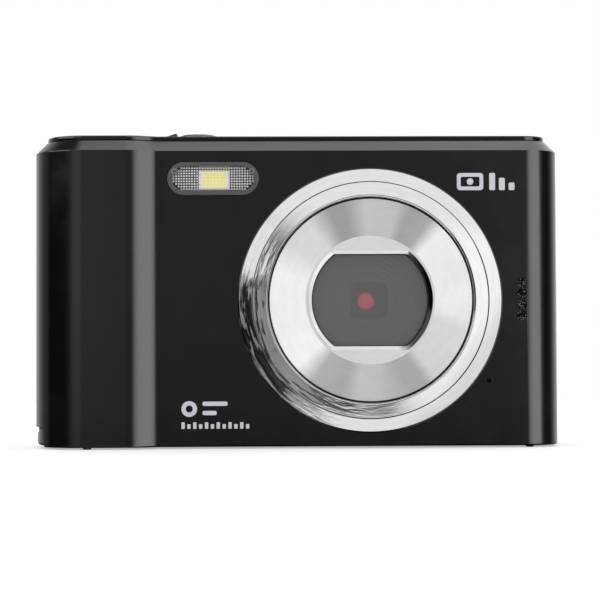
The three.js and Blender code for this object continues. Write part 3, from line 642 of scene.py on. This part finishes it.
def shared_cutters():
    """What is cut through both halves of the case."""
    door_low, door_high = node_box("battery_door")
    lug_low, lug_high = node_box("strap_lug")
    port_low, port_high = node_box("usb_port")
    cutters = [
        cutter_box((door_low[0] - 0.2, door_low[1] - 0.2, -2), (door_high[0] + 3, 8.3, 2)),
        cutter_box((-60, lug_low[1] - 0.2, -2), (lug_high[0] + 0.2, lug_high[1] + 0.2, lug_high[2] + 0.3)),
        cutter_box((46, port_low[1] - 0.15, port_low[2] - 0.15),
                   (50, port_high[1] + 0.15, port_high[2] + 0.15)),
        cutter_rod("z", node_centre("tripod_bush")[:2], 4.65, -2, 2.1, 64),
    ] + button_wells(56.6, 64)
    for name in SCREW_NODES:
        axis, centre, head, way = screw_place(name)
        cutters.append(cutter_rod(axis, centre, 1.6, head - way * 2, head + way * 0.8))
    return cutters


def foot(x, y):
    return solid_turned("foot", [(0.45, 0), (0.66, 0.03), (0.74, 0.12), (0.75, 0.9)], "z", (x, y), 28)


def case_half(name, node, start, end, cutters, foot_y):
    """One half of the case between two Y positions, hollowed, cut and standing on two feet."""
    shell = body_block(name, 0)
    combine(shell, [box_object("half", (-60, start, -5), (60, end, 70), 0)], "INTERSECT")
    combine(shell, [body_block("hollow", WALL)] + cutters + shared_cutters(), "DIFFERENCE")
    combine(shell, [foot(-38.7, foot_y[0]), foot(43.2, foot_y[1])], "UNION")
    place(shell, 28, SHELL, replaces=[node])


def front_shell():
    middle = node_centre("flash_window")
    cutters = [cutter_rod("y", LENS, 19.9, -14, -2, 96),
               prism(slot_outline(middle[0], middle[2], 17.2, 6.4), -14, -2)]
    cutters += [cutter_rod("y", hole, 0.95, -14, -4.5) for hole in SPEAKER_HOLES]
    cutters.append(cutter_rod("y", node_centre("microphone")[::2], 0.43, -14, -4.5, 16))
    case_half("front_case", "front_shell", -20, PART_Y - 0.04, cutters, (-7.2, -4.6))


def key_wells():
    wells = [cutter_rod("y", PAD, 8.6, 7, 13, 96)]
    wells += [cutter_rod("y", node_centre(name)[::2], 2.6, 7, 13, 48) for name in ROUND_KEYS]
    x, _, z = node_centre("zoom_rocker")
    return wells + [prism(rounded_rect(x - 7.3, x + 7.3, z - 2.6, z + 2.6, 2.3), 7, 13)]


def rear_shell():
    low, high = node_box("lcd_window")
    opening = rounded_rect(low[0] + 2.4, high[0] - 2.4, low[2] + 2.4, high[2] - 2.4, 0.6)
    seat = rounded_rect(low[0] - 0.2, high[0] + 0.2, low[2] - 0.2, high[2] + 0.2, 1.6)
    cutters = [prism(opening, 7, 13), prism(seat, 9.8, 13)] + key_wells()
    case_half("rear_case", "rear_shell", PART_Y + 0.04, 20, cutters, (9.2, 9.2))


def top_plate():
    low, high = node_box("top_plate")
    levels = [(low[2], PLATE_INSET), (high[2] - 0.2, PLATE_INSET), (high[2] - 0.06, PLATE_INSET + 0.06),
              (high[2], PLATE_INSET + 0.2)]
    plate = pillow("top_cover", body_outline(), levels, plane="xy")
    combine(plate, button_wells(56, 96), "DIFFERENCE")
    place(plate, 28, PLATE, replaces=["top_plate"], bevel=0.06)


# ---- lens

def lens_rings():
    outer = [(21.75, -6.85, 0), (24.4, -6.85, 0), (24.4, -7.95, 0.06), (24.13, -8.6, 0.05),
             (21.78, -9.55, 0.1), (21.75, -9.2, 0)]
    inner = [(18.85, -10.25, 0.1), (19.15, -10.6, 0.15), (21.68, -9.78, 0.15), (21.68, -6.9, 0),
             (19.75, -6.9, 0), (19.75, -3.9, 0), (18.85, -3.9, 0)]
    for side, profile in (("outer", outer), ("inner", inner)):
        ring = turned("lens_" + side + "_ring", rounded_profile(profile, steps=5), steps=192)
        place(ring, 50, CHROME, replaces=["lens_ring_" + side])


def lens_dish():
    dish = turned("lens_cone", rounded_profile([
        (18.57, -10.1, 0.2), (11.9, -8.9, 0.02), (11.9, -7.9, 0), (17.6, -8.9, 0),
        (17.6, -4.2, 0), (18.57, -4.2, 0)]), steps=240)
    place(dish, 40, DISH, replaces=["lens_dish"])


def window_ring(radius, half_height, y):
    """The flattened circle of the lens window, one point per direction."""
    ring = []
    for angle in turn_angles(240):
        reach = min(radius, half_height / max(1e-6, abs(math.sin(angle))))
        ring.append(on_circle("y", LENS, reach, y, angle))
    return ring


def circle_ring(radius, y):
    return [on_circle("y", LENS, radius, y, angle) for angle in turn_angles(240)]


def window_bezel():
    """A satin disc with a polished bevel down to the glass, the bevel in painted shade on its right."""
    width, height = WINDOW_R + BEVEL, WINDOW_HALF_HEIGHT + BEVEL
    face = loft("window_frame", [
        circle_ring(DISH_R, -5.6), circle_ring(DISH_R, DISH_Y + 0.02), circle_ring(DISH_R - 0.02, DISH_Y),
        window_ring(width, height, DISH_Y), window_ring(width, height, -5.6)], closed=True)
    place(face, 25, BEZEL, replaces=["window_bezel"])
    bevel = loft("window_bevel", [
        window_ring(width - 0.01, height - 0.01, -5.6), window_ring(width - 0.01, height - 0.01, DISH_Y),
        window_ring(width - 0.05, height - 0.05, DISH_Y - 0.02),
        window_ring(WINDOW_R, WINDOW_HALF_HEIGHT, DISH_Y + 0.3),
        window_ring(WINDOW_R, WINDOW_HALF_HEIGHT, -5.6)], closed=True)
    place(bevel, 25, POLISHED)


def lens_window():
    width, height = WINDOW_R - 0.2, WINDOW_HALF_HEIGHT - 0.12
    rings = [window_ring(width - 0.1, height - 0.1, -7.9), window_ring(width, height, -7.8),
             window_ring(width, height, -7.1)]
    place(loft("lens_window_glass", rings), 30, WINDOW, replaces=["lens_window"])


def baffle():
    profile = [(11.2, -5.4, 0), (11.2, -2.5, 0), (4.4, -2.5, 0), (4.4, -3.1, 0)]
    for k in range(7):
        profile += [(5 + 0.85 * k, -3.1 - 0.33 * k, 0.05), (5 + 0.85 * k, -3.43 - 0.33 * k, 0.05)]
    steps = turned("lens_baffle_steps", rounded_profile(profile))
    place(steps, 40, BAFFLE, replaces=["baffle_cup"])
    x, z = LENS
    floor = pillow("lens_baffle_floor", rounded_rect(x - 5.2, x + 5.2, z - 5.2, z + 5.2, 5), [
        (-3.08, 0.05), (-3.03, 0), (-2.55, 0)])
    combine(floor, [prism(rounded_rect(x - 3.5, x + 3.5, z - 3.5, z + 3.5, 1), -5, -1)], "DIFFERENCE")
    place(floor, 30, BAFFLE, bevel=0.12)


def lens_optics():
    centre = (node_centre("lens_barrel")[0], LENS[1])
    barrel = turned("lens_tube", rounded_profile([
        (1.6, -2.05, 0.1), (2.2, -2.2, 0.1), (4.6, -2.2, 0.2), (4.6, 0, 0.1), (2.7, 0, 0), (2.7, -1.1, 0),
        (1.6, -1.1, 0)]), centre=centre, steps=96)
    place(barrel, 35, BLACK, replaces=["lens_barrel"])
    quarter = [math.radians(9 * k) for k in range(11)]
    dome = [(0.02 + 1.48 * math.sin(a), -1.75 - 0.4 * math.cos(a)) for a in quarter]
    front = solid_turned("front_lens", dome + [(1.5, -1.2)], centre=centre)
    place(front, 50, PAINTED_GLOW_GLASS, replaces=["lens_front_element"])


# ---- flash, speaker and printing

def flash_window():
    x, _, z = node_centre("flash_window")
    rim = pillow("flash_window_rim", slot_outline(x, z, 17, 6.2), [
        (-4.6, 0), (-6.7, 0), (-6.82, 0.08), (-6.85, 0.25)])
    combine(rim, [prism(slot_outline(x, z, 18.4, 7.6), -5.1, -4.5)], "UNION")
    opening = pillow("cutter", slot_outline(x, z, 15.1, 4.4), [(-9, -0.2), (-6.6, 0), (-4, 0)])
    combine(rim, [opening], "DIFFERENCE")
    place(rim, 30, SMOKE, replaces=["flash_window"])
    sheet = prism(slot_outline(x, z, 15.08, 4.38), -6.4, -6.1, "flash_lens_sheet")
    place(sheet, 30, CLEAR)
    tube = [(0.26, -6.5), (0.55, -6.5), (0.55, -6.88), (0.26, -6.88)]
    posts = [turned("post", tube, centre=(x + side * 7.15, z + 1.35), steps=32) for side in (-1, 1)]
    place(merge("flash_posts", posts), 30, POST)
    place(lens_grid(x, z), 10, PRISM)


def lens_grid(x, z):
    """Rows of tiny blunt pyramids moulded on the flash window, left out in front of the LED."""
    low, high = node_box("flash_led")
    pitch = 0.49
    half = 0.165
    corners = ((-1, -1), (1, -1), (1, 1), (-1, 1))
    sides = ((3, 2, 1, 0), (4, 5, 6, 7), (0, 1, 5, 4), (1, 2, 6, 5), (2, 3, 7, 6), (3, 0, 4, 7))
    verts = []
    faces = []
    for column in range(-15, 16):
        for row in range(-4, 5):
            cx = x + column * pitch
            cz = z + row * pitch
            reach = math.hypot(max(0, abs(cx - x) + half - 5.35), abs(cz - z) + half)
            over_led = low[0] - 0.7 < cx < high[0] + 0.45 and low[2] - 0.2 < cz < high[2] + 0.1
            if reach > 2.28 or over_led:
                continue
            faces += [tuple(len(verts) + k for k in side) for side in sides]
            for size, y in ((half, -6.4), (half * 0.6, -6.5)):
                verts += [(cx + size * i, y, cz + size * j) for i, j in corners]
    return new_object("flash_lens_grid", verts, faces)


def flash_inside():
    x, _, z = node_centre("flash_reflector")
    tray = pillow("flash_tray", slot_outline(x, z, 16, 5.4), [(-2.2, 0), (-4.2, 0), (-4.3, 0.1)])
    pocket = pillow("cutter", slot_outline(x, z, 15, 4.7), [(-6, -0.1), (-4.25, 0), (-2.8, 0.9)])
    combine(tray, [pocket], "DIFFERENCE")
    place(tray, 30, TRAY, replaces=["flash_reflector"])
    low, high = node_box("flash_led")
    led = box_object("flash_led_chip", (low[0] - 0.25, low[1], low[2]),
                     (high[0] + 0.05, high[1], high[2] + 0.45), 0.12)
    place(led, 30, LED, replaces=["flash_led"])
    carrier = box_object("flash_led_carrier", (low[0] - 1, low[1] + 0.1, low[2] - 0.15),
                         (high[0] + 0.75, high[1], high[2] + 0.7), 0.2)
    place(carrier, 30, CARRIER_PAINTED_GLOW)


def speaker_mesh():
    """The speaker, and wire cloth just inside its four holes."""
    can = turned("speaker_can", rounded_profile([
        (0.4, -5, 0), (3.9, -5, 0.2), (4, -4.8, 0.1), (4, -2.6, 0.2), (0.4, -2.6, 0)]),
        centre=node_centre("speaker")[::2], steps=64)
    place(can, 35, STEEL, replaces=["speaker"])
    discs = [solid_turned("disc", [(0.94, -6.45), (0.94, -6.2)], "y", hole, 32) for hole in SPEAKER_HOLES]
    place(merge("speaker_cloth", discs), 35, MESH)


def flat_mark(shape, hole=None):
    """A printed rounded rectangle that stands 0.02 mm proud of the front."""
    mark = prism(rounded_rect(*shape), FRONT_Y - 0.02, FRONT_Y + 0.01)
    if hole:
        combine(mark, [prism(rounded_rect(*hole), FRONT_Y - 1, FRONT_Y + 1)], "DIFFERENCE")
    return mark


def printed_marks():
    """Pictograms: a frame with a dot and bars at the top right, a ring, bars and ticks at the bottom left."""
    top = [flat_mark((29.7, 34.6, 47.6, 50.8, 0.6), (30.4, 33.9, 48.3, 50.1, 0.3)),
           flat_mark((31.55, 32.75, 48.6, 49.8, 0.55))]
    for k in range(3):
        x = 35.7 + k * 1.8
        top.append(flat_mark((x, x + 1.1, 47.6, 50.8 - k * 0.9, 0.25)))
    low = [flat_mark((-21.4, -18.5, 5.9, 8.8, 1.44), (-20.6, -19.3, 6.7, 8, 0.64)),
           flat_mark((-17.5, -12.9, 7.9, 8.7, 0.3)), flat_mark((-17.5, -14.9, 6.2, 7, 0.3))]
    for k in range(12):
        x = -21.4 + k * 1.08
        low.append(flat_mark((x, x + 0.62, 3.7, 4.9 - 0.35 * (k % 2), 0.1)))
    place(merge("printed_marks_top", top), 30, INK)
    place(merge("printed_marks_base", low), 30, INK)


# ---- controls

def shutter_button():
    low, high = node_box("shutter_button")
    top = high[2]
    profile = [(0.02, top), (1.6, top - 0.01), (2.7, top - 0.03), (3.2, top - 0.07), (3.45, top - 0.15),
               (3.6, top - 0.28), (3.65, top - 0.45), (3.65, 57.36), (3.57, 57.3), (1.2, 57.3),
               (1.2, low[2] + 0.1), (1.1, low[2])]
    button = solid_turned("shutter_cap", profile, "z", node_centre("shutter_button")[:2], 96)
    place(button, 40, BUTTON, "shutter_button", ["shutter_button"])


def power_button():
    low, high = node_box("power_button")
    x0, x1, y0, y1 = low[0], high[0], low[1], high[1]
    top = high[2]
    side = [(x0, 57.3), (x1, 57.3), (x1, top - 0.25), (x1 - 0.1, top - 0.06), (x1 - 0.3, top),
            (x0 + 0.3, top - 0.86), (x0 + 0.06, top - 0.94), (x0, top - 1.05)]
    rings = []
    for y, inset in ((y0, 0.08), (y0 + 0.2, 0), (y1 - 0.2, 0), (y1, 0.08)):
        rings.append([(x, y, z) for x, z in offset_outline(side, inset)])
    wedge = loft("power_cap", rings)
    stem = solid_turned("stem", [(0.8, low[2] + 0.03), (0.9, low[2] + 0.12), (0.9, 57.4)], "z",
                        (POWER_X, (y0 + y1) / 2), 32)
    combine(wedge, [stem], "UNION")
    place(wedge, 30, KEY, "power_button", ["power_button"])


GLYPHS = {
    "mode_key": [(-0.9, -0.2), (0.9, -0.2), (0.9, 0.2), (-0.9, 0.2)],
    "delete_key": [(-0.6, -0.9), (0.6, -0.9), (0.8, 0.7), (-0.8, 0.7)],
    "menu_key": [(-0.8, -0.8), (0.8, -0.8), (0.8, 0.8), (-0.8, 0.8)],
    "playback_key": [(0.6, -0.9), (0.6, 0.9), (-0.9, 0)],
}


def key_mark(node, outline, low, high):
    """A plain printed shape that moves with its key."""
    place(prism(outline, low, high, node + "_mark"), 30, INK, node)


def round_key(node):
    """A dished round key with a plain printed shape."""
    x, z = node_centre(node)[::2]
    profile = [(0.02, 7.6), (3, 7.6), (3, 8.7), (2.4, 8.7), (2.4, 10.95), (2.33, 11.1), (2.18, 11.18),
               (1.9, 11.18), (1.2, 11.06), (0.02, 11)]
    key = solid_turned(node + "_cap", profile, "y", (x, z), 64)
    place(key, 35, KEY, node, [node])
    key_mark(node, [(x + dx * 0.75, z + dz * 0.75) for dx, dz in GLYPHS[node]], 11, 11.12)


def pad_quarter(node, middle_angle):
    """One arc of the direction pad with a small arrow."""
    gap = 0.17
    profile = [(3.9, 7.6), (9, 7.6), (9, 8.7), (8.4, 8.7), (8.4, 10.8), (8.33, 11), (8.15, 11.15),
               (7.8, 11.19), (6.2, 11.02), (4.3, 10.97), (4.02, 10.94), (3.9, 10.85)]
    rings = []
    steps = 36
    for k in range(steps + 1):
        ring = []
        for r, y in profile:
            half = math.pi / 4 - math.asin(gap / r)
            ring.append(on_circle("y", PAD, r, y, middle_angle - half + 2 * half * k / steps))
        rings.append(ring)
    key = loft(node + "_cap", rings)
    place(key, 35, KEY, node, [node])
    ca, sa = math.cos(middle_angle), math.sin(middle_angle)
    arrow = [(6.9, 0), (5.9, 0.75), (5.9, -0.75)]
    key_mark(node, [(PAD[0] + r * ca - t * sa, PAD[1] + r * sa + t * ca) for r, t in arrow], 10.9, 11.09)


def ok_key():
    profile = [(0.02, 7.6), (3.4, 7.6), (3.4, 10.75), (3.33, 10.95), (3.15, 11.08), (2.7, 11.08),
               (1.5, 10.95), (0.02, 10.9)]
    key = solid_turned("ok_cap", profile, "y", PAD, 80)
    place(key, 35, BUTTON, "ok_key", ["ok_key"])


def zoom_rocker():
    x, z = node_centre("zoom_rocker")[::2]
    cap = pillow("zoom_rocker_cap", rounded_rect(x - 7, x + 7, z - 2.3, z + 2.3, 2.1), [
        (8.4, 0.05), (8.5, 0), (10.6, 0), (10.85, 0.08), (10.98, 0.25), (11, 0.5)])
    dip = solid_turned("cutter", [(14, z - 4), (14, z + 4)], "z", (x, 24.35), 180)
    hub = cutter_box((x - 1, 7.4, z - 2.3), (x + 1, 8.6, z + 2.3))
    combine(cap, [dip, cutter_rod("z", (x, 8.2), 0.6, 40, 54)], "DIFFERENCE")
    combine(hub, [cutter_rod("z", (x, 8.2), 0.6, 40, 54)], "DIFFERENCE")
    combine(cap, [hub], "UNION")
    place(cap, 30, KEY, "zoom_rocker", ["zoom_rocker"], bevel=0.05)
    marks = [prism(rounded_rect(*bar, 0.1), 10.9, high, "bar") for bar, high in (
        ((x - 6, x - 4.6, z - 0.15, z + 0.15), 11.03), ((x + 4.6, x + 6, z - 0.15, z + 0.15), 11.03),
        ((x - 5.45, x - 5.15, z - 0.7, z + 0.7), 11.04))]
    place(merge("zoom_rocker_marks", marks), 30, INK, "zoom_rocker")


# ---- screen, base and sides

def screen():
    low, high = node_box("lcd_window")
    glass = pillow("screen_glass_cover", rounded_rect(low[0], high[0], low[2], high[2], 1.4), [
        (9.9, 0.05), (9.95, 0), (10.45, 0), (10.56, 0.05), (10.6, 0.2)])
    place(glass, 30, SCREEN, replaces=["lcd_window"])
    view = prism(rounded_rect(low[0] + 3.4, high[0] - 3.4, low[2] + 3, high[2] - 3.4, 0.3), 10.5, 10.615,
                 "screen_view_area")
    place(view, 30, DISPLAY)


def tripod_bush():
    thread = [(2.55 if k % 2 else 2.85, 0.75 + k * 0.3) for k in range(18)]
    profile = [(4.3, 0.4), (4.5, 0.6), (4.5, 2.1), (5, 2.1), (5, 3.2), (4.5, 3.2), (4.5, 7.2), (0.05, 7.2),
               (0.05, 6.3), (2.55, 6.2)] + thread[::-1] + [(3.2, 0.4)]
    bush = turned("tripod_thread", profile, "z", node_centre("tripod_bush")[:2], 64)
    place(bush, 25, STEEL, replaces=["tripod_bush"])


def case_screw(name):
    """A screw with a crossed slot. `way` is 1 or -1, from its head into the case."""
    axis, centre, head, way = screw_place(name)
    profile = [(0.02, head), (1.1, head), (1.4, head + way * 0.22), (1.4, head + way * 0.7),
               (0.7, head + way * 0.7), (0.7, head + way * 4), (0.02, head + way * 4.1)]
    screw = solid_turned(name + "_head", profile, axis, centre, 48)
    start, end = sorted((head - way, head + way * 0.45))
    arms = []
    for a, b in ((0.85, 0.14), (0.14, 0.85)):
        low, high = (centre[0] - a, centre[1] - b), (centre[0] + a, centre[1] + b)
        if axis == "z":
            arms.append(cutter_box((*low, start), (*high, end)))
        else:
            arms.append(cutter_box((start, *low), (end, *high)))
    combine(screw, arms, "DIFFERENCE")
    place(screw, 30, STEEL, replaces=[name])


def battery_door():
    low, high = node_box("battery_door")
    plate = pillow("door_cover", rounded_rect(low[0], high[0], low[1], 7, 0.4), [
        (low[2], 0.25), (low[2] + 0.06, 0.06), (low[2] + 0.25, 0), (1.7, 0), (1.8, 0.1)], plane="xy")
    combine(plate, [cutter_rod("x", (7, 1.5), 1.05, low[0], high[0], 64)], "UNION")
    cutters = [cutter_box((-28.6, 5.7, 0), (-24.2, 9, 3)), cutter_rod("x", (7, 1.5), 0.6, -50, 0, 40)]
    cutters += [cutter_box((x, -2.6, 0), (x + 0.6, 4.2, 0.65)) for x in (-16.4, -15.2, -14)]
    combine(plate, cutters, "DIFFERENCE")
    place(plate, 30, SHELL, "battery_door", ["battery_door"], bevel=0.04)


def port_block(inset, radius, start, depth):
    """A rounded block along X. Swapping the axes turns its faces inside out, so they are flipped back."""
    low, high = node_box("usb_port")
    outline = rounded_rect(low[1] + inset, high[1] - inset, low[2] + inset, high[2] - inset, radius)
    block = prism(outline, 0, 1, "port_can")
    block.data.transform(Matrix(((0, depth, 0, start * MM), (1, 0, 0, 0), (0, 0, 1, 0), (0, 0, 0, 1))))
    block.data.flip_normals()
    return block


def charging_port():
    low, high = node_box("usb_port")
    can = port_block(0, 0.5, low[0], 5)
    combine(can, [port_block(0.3, 0.35, low[0] + 0.7, 9)], "DIFFERENCE")
    place(can, 30, STEEL, replaces=["usb_port"])
    tongue = box_object("port_tongue", (low[0] + 0.5, 1.35, low[2] + 2), (high[0] - 0.9, 1.85, high[2] - 2))
    place(tongue, 30, BLACK)


INSIDE = {
    "lens_rear_element": CLEAR, "lens_holder": BLACK, "ir_filter": PAINTED_GLOW_GLASS, "image_sensor": SENSOR,
    "sensor_board": BOARD, "flash_board": BOARD, "switch_board": BOARD, "key_board": BOARD,
    "main_board": BOARD, "rocker_pin": STEEL, "battery": CELL, "battery_box": BLACK,
    "battery_contacts": BRASS, "door_slider": STEEL, "door_pin": STEEL, "card_socket": STEEL,
    "memory_card": CARD, "processor_chip": CHIP, "lcd_frame": STEEL, "lcd_panel": DISPLAY,
    "microphone": CHIP, "strap_lug": SHELL,
}


def dress_inner_parts():
    """Carried-over CAD parts get their finish and slightly rounded edges."""
    for name, material in INSIDE.items():
        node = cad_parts[name]
        for index in range(max(1, len(node.data.materials))):
            if index < len(node.material_slots):
                node.material_slots[index].material = material
            else:
                node.data.materials.append(material)
        weld = node.modifiers.new("weld", "WELD")
        weld.merge_threshold = 0.000002
        round_edges(node, 0.07, 40)


# ---- stage, light and camera

# Brightness of the room at the object's height, by azimuth from the front towards the right
ROOM = [
    (-180, 0.5), (-150, 0.62), (-135, 0.6), (-122, 0.36), (-110, 0.14), (-98, 0.06), (-88, 0.022),
    (-44, 0.022), (-36, 0.09), (-27, 0.25), (-19, 0.33), (-13, 0.34), (-8, 0.25), (-3, 0.145), (9, 0.145),
    (12, 0.3), (16, 0.85), (21, 1.3), (30, 1.6), (52, 1.62), (57, 0.75), (61, 0.24), (70, 0.06), (92, 0.05),
    (104, 0.2), (114, 0.5), (126, 0.9), (148, 0.95), (180, 0.5),
]
TOP_LEVEL = 1.6
HIGH_FRONT_LEVEL = 1.35
EVEN_LEVEL = 1.35


def room_by_azimuth(tree, azimuth):
    """The ROOM steps as a ramp. A ramp holds levels up to 1, so they are scaled there and back."""
    peak = max(level for _, level in ROOM)
    stops = [((angle + 180) / 360, (level / peak,) * 3) for angle, level in ROOM]
    return product(tree, ramp(tree, mapped(tree, azimuth, -180, 180, 0, 1), stops), peak)


def room_level(tree, azimuth, elevation):
    """Brightness in every direction: soft boxes right and above, a dark left, a white wall low behind."""
    ahead = product(tree, easing(tree, azimuth, -60, -45), easing(tree, azimuth, 14, 9))
    dusk = product(tree, ahead, easing(tree, elevation, 2, -6))
    low = product(tree, room_by_azimuth(tree, azimuth), blend(tree, dusk, 1, 0.5))
    overhead = easing(tree, elevation, 18, 34)
    left_high = product(tree, easing(tree, elevation, 7, 12), easing(tree, azimuth, -30, -38))
    front = blend(tree, math_node(tree, "MAXIMUM", overhead, left_high), low, HIGH_FRONT_LEVEL)
    gap = blend(tree, easing(tree, azimuth, -60, 60), 0.1, 0.3)
    behind = math_node(tree, "ADD", product(tree, low, easing(tree, elevation, 56, 24)), gap)
    facing = product(tree, easing(tree, azimuth, -100, -84), easing(tree, azimuth, 160, 140))
    level = blend(tree, facing, behind, front)
    return blend(tree, easing(tree, elevation, 72, 88), level, TOP_LEVEL)


def mixed(tree, share, first, second):
    """Shader nodes: the first one at a share of 0, the second at 1."""
    inputs = {"Fac": share, 1: first.outputs[0], 2: second.outputs[0]}
    return add_node(tree, "MixShader", inputs)


def studio_light():
    """Shiny surfaces reflect the room, matt ones get even light, and behind the object all is white."""
    world = bpy.data.worlds.new("studio")
    world.use_nodes = True
    tree = world.node_tree
    split = add_node(tree, "SeparateXYZ", {0: add_node(tree, "TexCoord").outputs["Generated"]})
    turn = math_node(tree, "ARCTAN2", split.outputs["X"], product(tree, split.outputs["Y"], -1))
    azimuth = math_node(tree, "DEGREES", turn)
    elevation = math_node(tree, "DEGREES", math_node(tree, "ARCSINE", split.outputs["Z"]))
    paths = add_node(tree, "LightPath")
    level = blend(tree, paths.outputs["Is Diffuse Ray"], room_level(tree, azimuth, elevation), EVEN_LEVEL)
    room = tree.nodes["Background"]
    feed(tree, room, {"Color": (1, 1, 1, 1), "Strength": level})
    white = add_node(tree, "Background", {"Color": (1, 1, 1, 1)})
    choose = mixed(tree, paths.outputs["Is Camera Ray"], room, white)
    feed(tree, tree.nodes["World Output"], {"Surface": choose.outputs[0]})
    bpy.context.scene.world = world


def floor():
    """A pale table. Reflections show its top bright at a steep angle and see past it at a grazing one, and
    black under the body, a painted shadow.
    """
    material, tree, bsdf = shader("pale_floor", (0.55, 0.55, 0.55), 0.9)
    place_on_table = object_coordinates(tree)
    tone = two_tone(tree, noise_at(tree, place_on_table, 0.02), (0.55, 0.55, 0.55), (0.56, 0.56, 0.56))
    feed(tree, bsdf, {"Base Color": tone, "Specular IOR Level": 0, "Emission Color": (1, 1, 1, 1),
                      "Emission Strength": 0.42})
    split = add_node(tree, "SeparateXYZ", {0: place_on_table})
    x, y, z = [math_node(tree, "DIVIDE", split.outputs[letter], MM) for letter in "XYZ"]
    # Painted shadow: in reflections the table goes black under the body's footprint.
    ahead = math_node(tree, "MAXIMUM", easing(tree, y, -9.2, -11.2), easing(tree, y, 11, 13))
    clear = math_node(tree, "MAXIMUM", ahead, easing(tree, math_node(tree, "ABSOLUTE", x), 49, 52))
    glow = add_node(tree, "Emission", {"Strength": product(tree, clear, 1.35)})
    facing = add_node(tree, "LayerWeight").outputs["Facing"]
    steep = product(tree, easing(tree, facing, 0.44, 0.32), easing(tree, z, -0.3, -0.05))
    opaque = math_node(tree, "MAXIMUM", steep, math_node(tree, "SUBTRACT", 1, clear))
    seen = mixed(tree, opaque, add_node(tree, "BsdfTransparent"), glow)
    choose = mixed(tree, add_node(tree, "LightPath").outputs["Is Glossy Ray"], bsdf, seen)
    feed(tree, tree.nodes["Material Output"], {"Surface": choose.outputs[0]})
    table = solid_turned("floor", [(0.1, -4), (300, -4), (300, -0.2), (299.8, 0), (0.1, 0)], "z", (0, 0), 96)
    table.data.materials.append(material)


def camera():
    """Almost level and straight ahead, a little from the left and below, 330 mm away."""
    target = Vector((0.65, 0, 27.56)) * MM
    azimuth = math.radians(-1)
    elevation = math.radians(-1.7)
    level = math.cos(elevation)
    back = Vector((math.sin(azimuth) * level, -math.cos(azimuth) * level, math.sin(elevation)))
    data = bpy.data.cameras.new("camera")
    data.sensor_width = 36
    data.lens = 105
    data.clip_start = 0.01
    data.clip_end = 20
    obj = bpy.data.objects.new("camera", data)
    obj.location = target + back * 330 * MM
    aim = (target - obj.location).to_track_quat("-Z", "Y").to_matrix().to_4x4()
    roll = Matrix.Rotation(math.radians(-0.24), 4, "Z")
    obj.matrix_world = Matrix.Translation(obj.location) @ aim @ roll
    bpy.context.scene.collection.objects.link(obj)
    bpy.context.scene.camera = obj


bpy.context.scene.view_settings.view_transform = "Standard"
front_shell()
rear_shell()
top_plate()
lens_rings()
lens_dish()
window_bezel()
lens_window()
baffle()
lens_optics()
flash_window()
flash_inside()
speaker_mesh()
printed_marks()
shutter_button()
power_button()
for key_name in ROUND_KEYS:
    round_key(key_name)
for pad_name, pad_angle in (("right_key", 0), ("up_key", 90), ("left_key", 180), ("down_key", 270)):
    pad_quarter(pad_name, math.radians(pad_angle))
ok_key()
zoom_rocker()
screen()
tripod_bush()
for screw_name in SCREW_NODES:
    case_screw(screw_name)
battery_door()
charging_port()
dress_inner_parts()
studio_light()
floor()
camera()
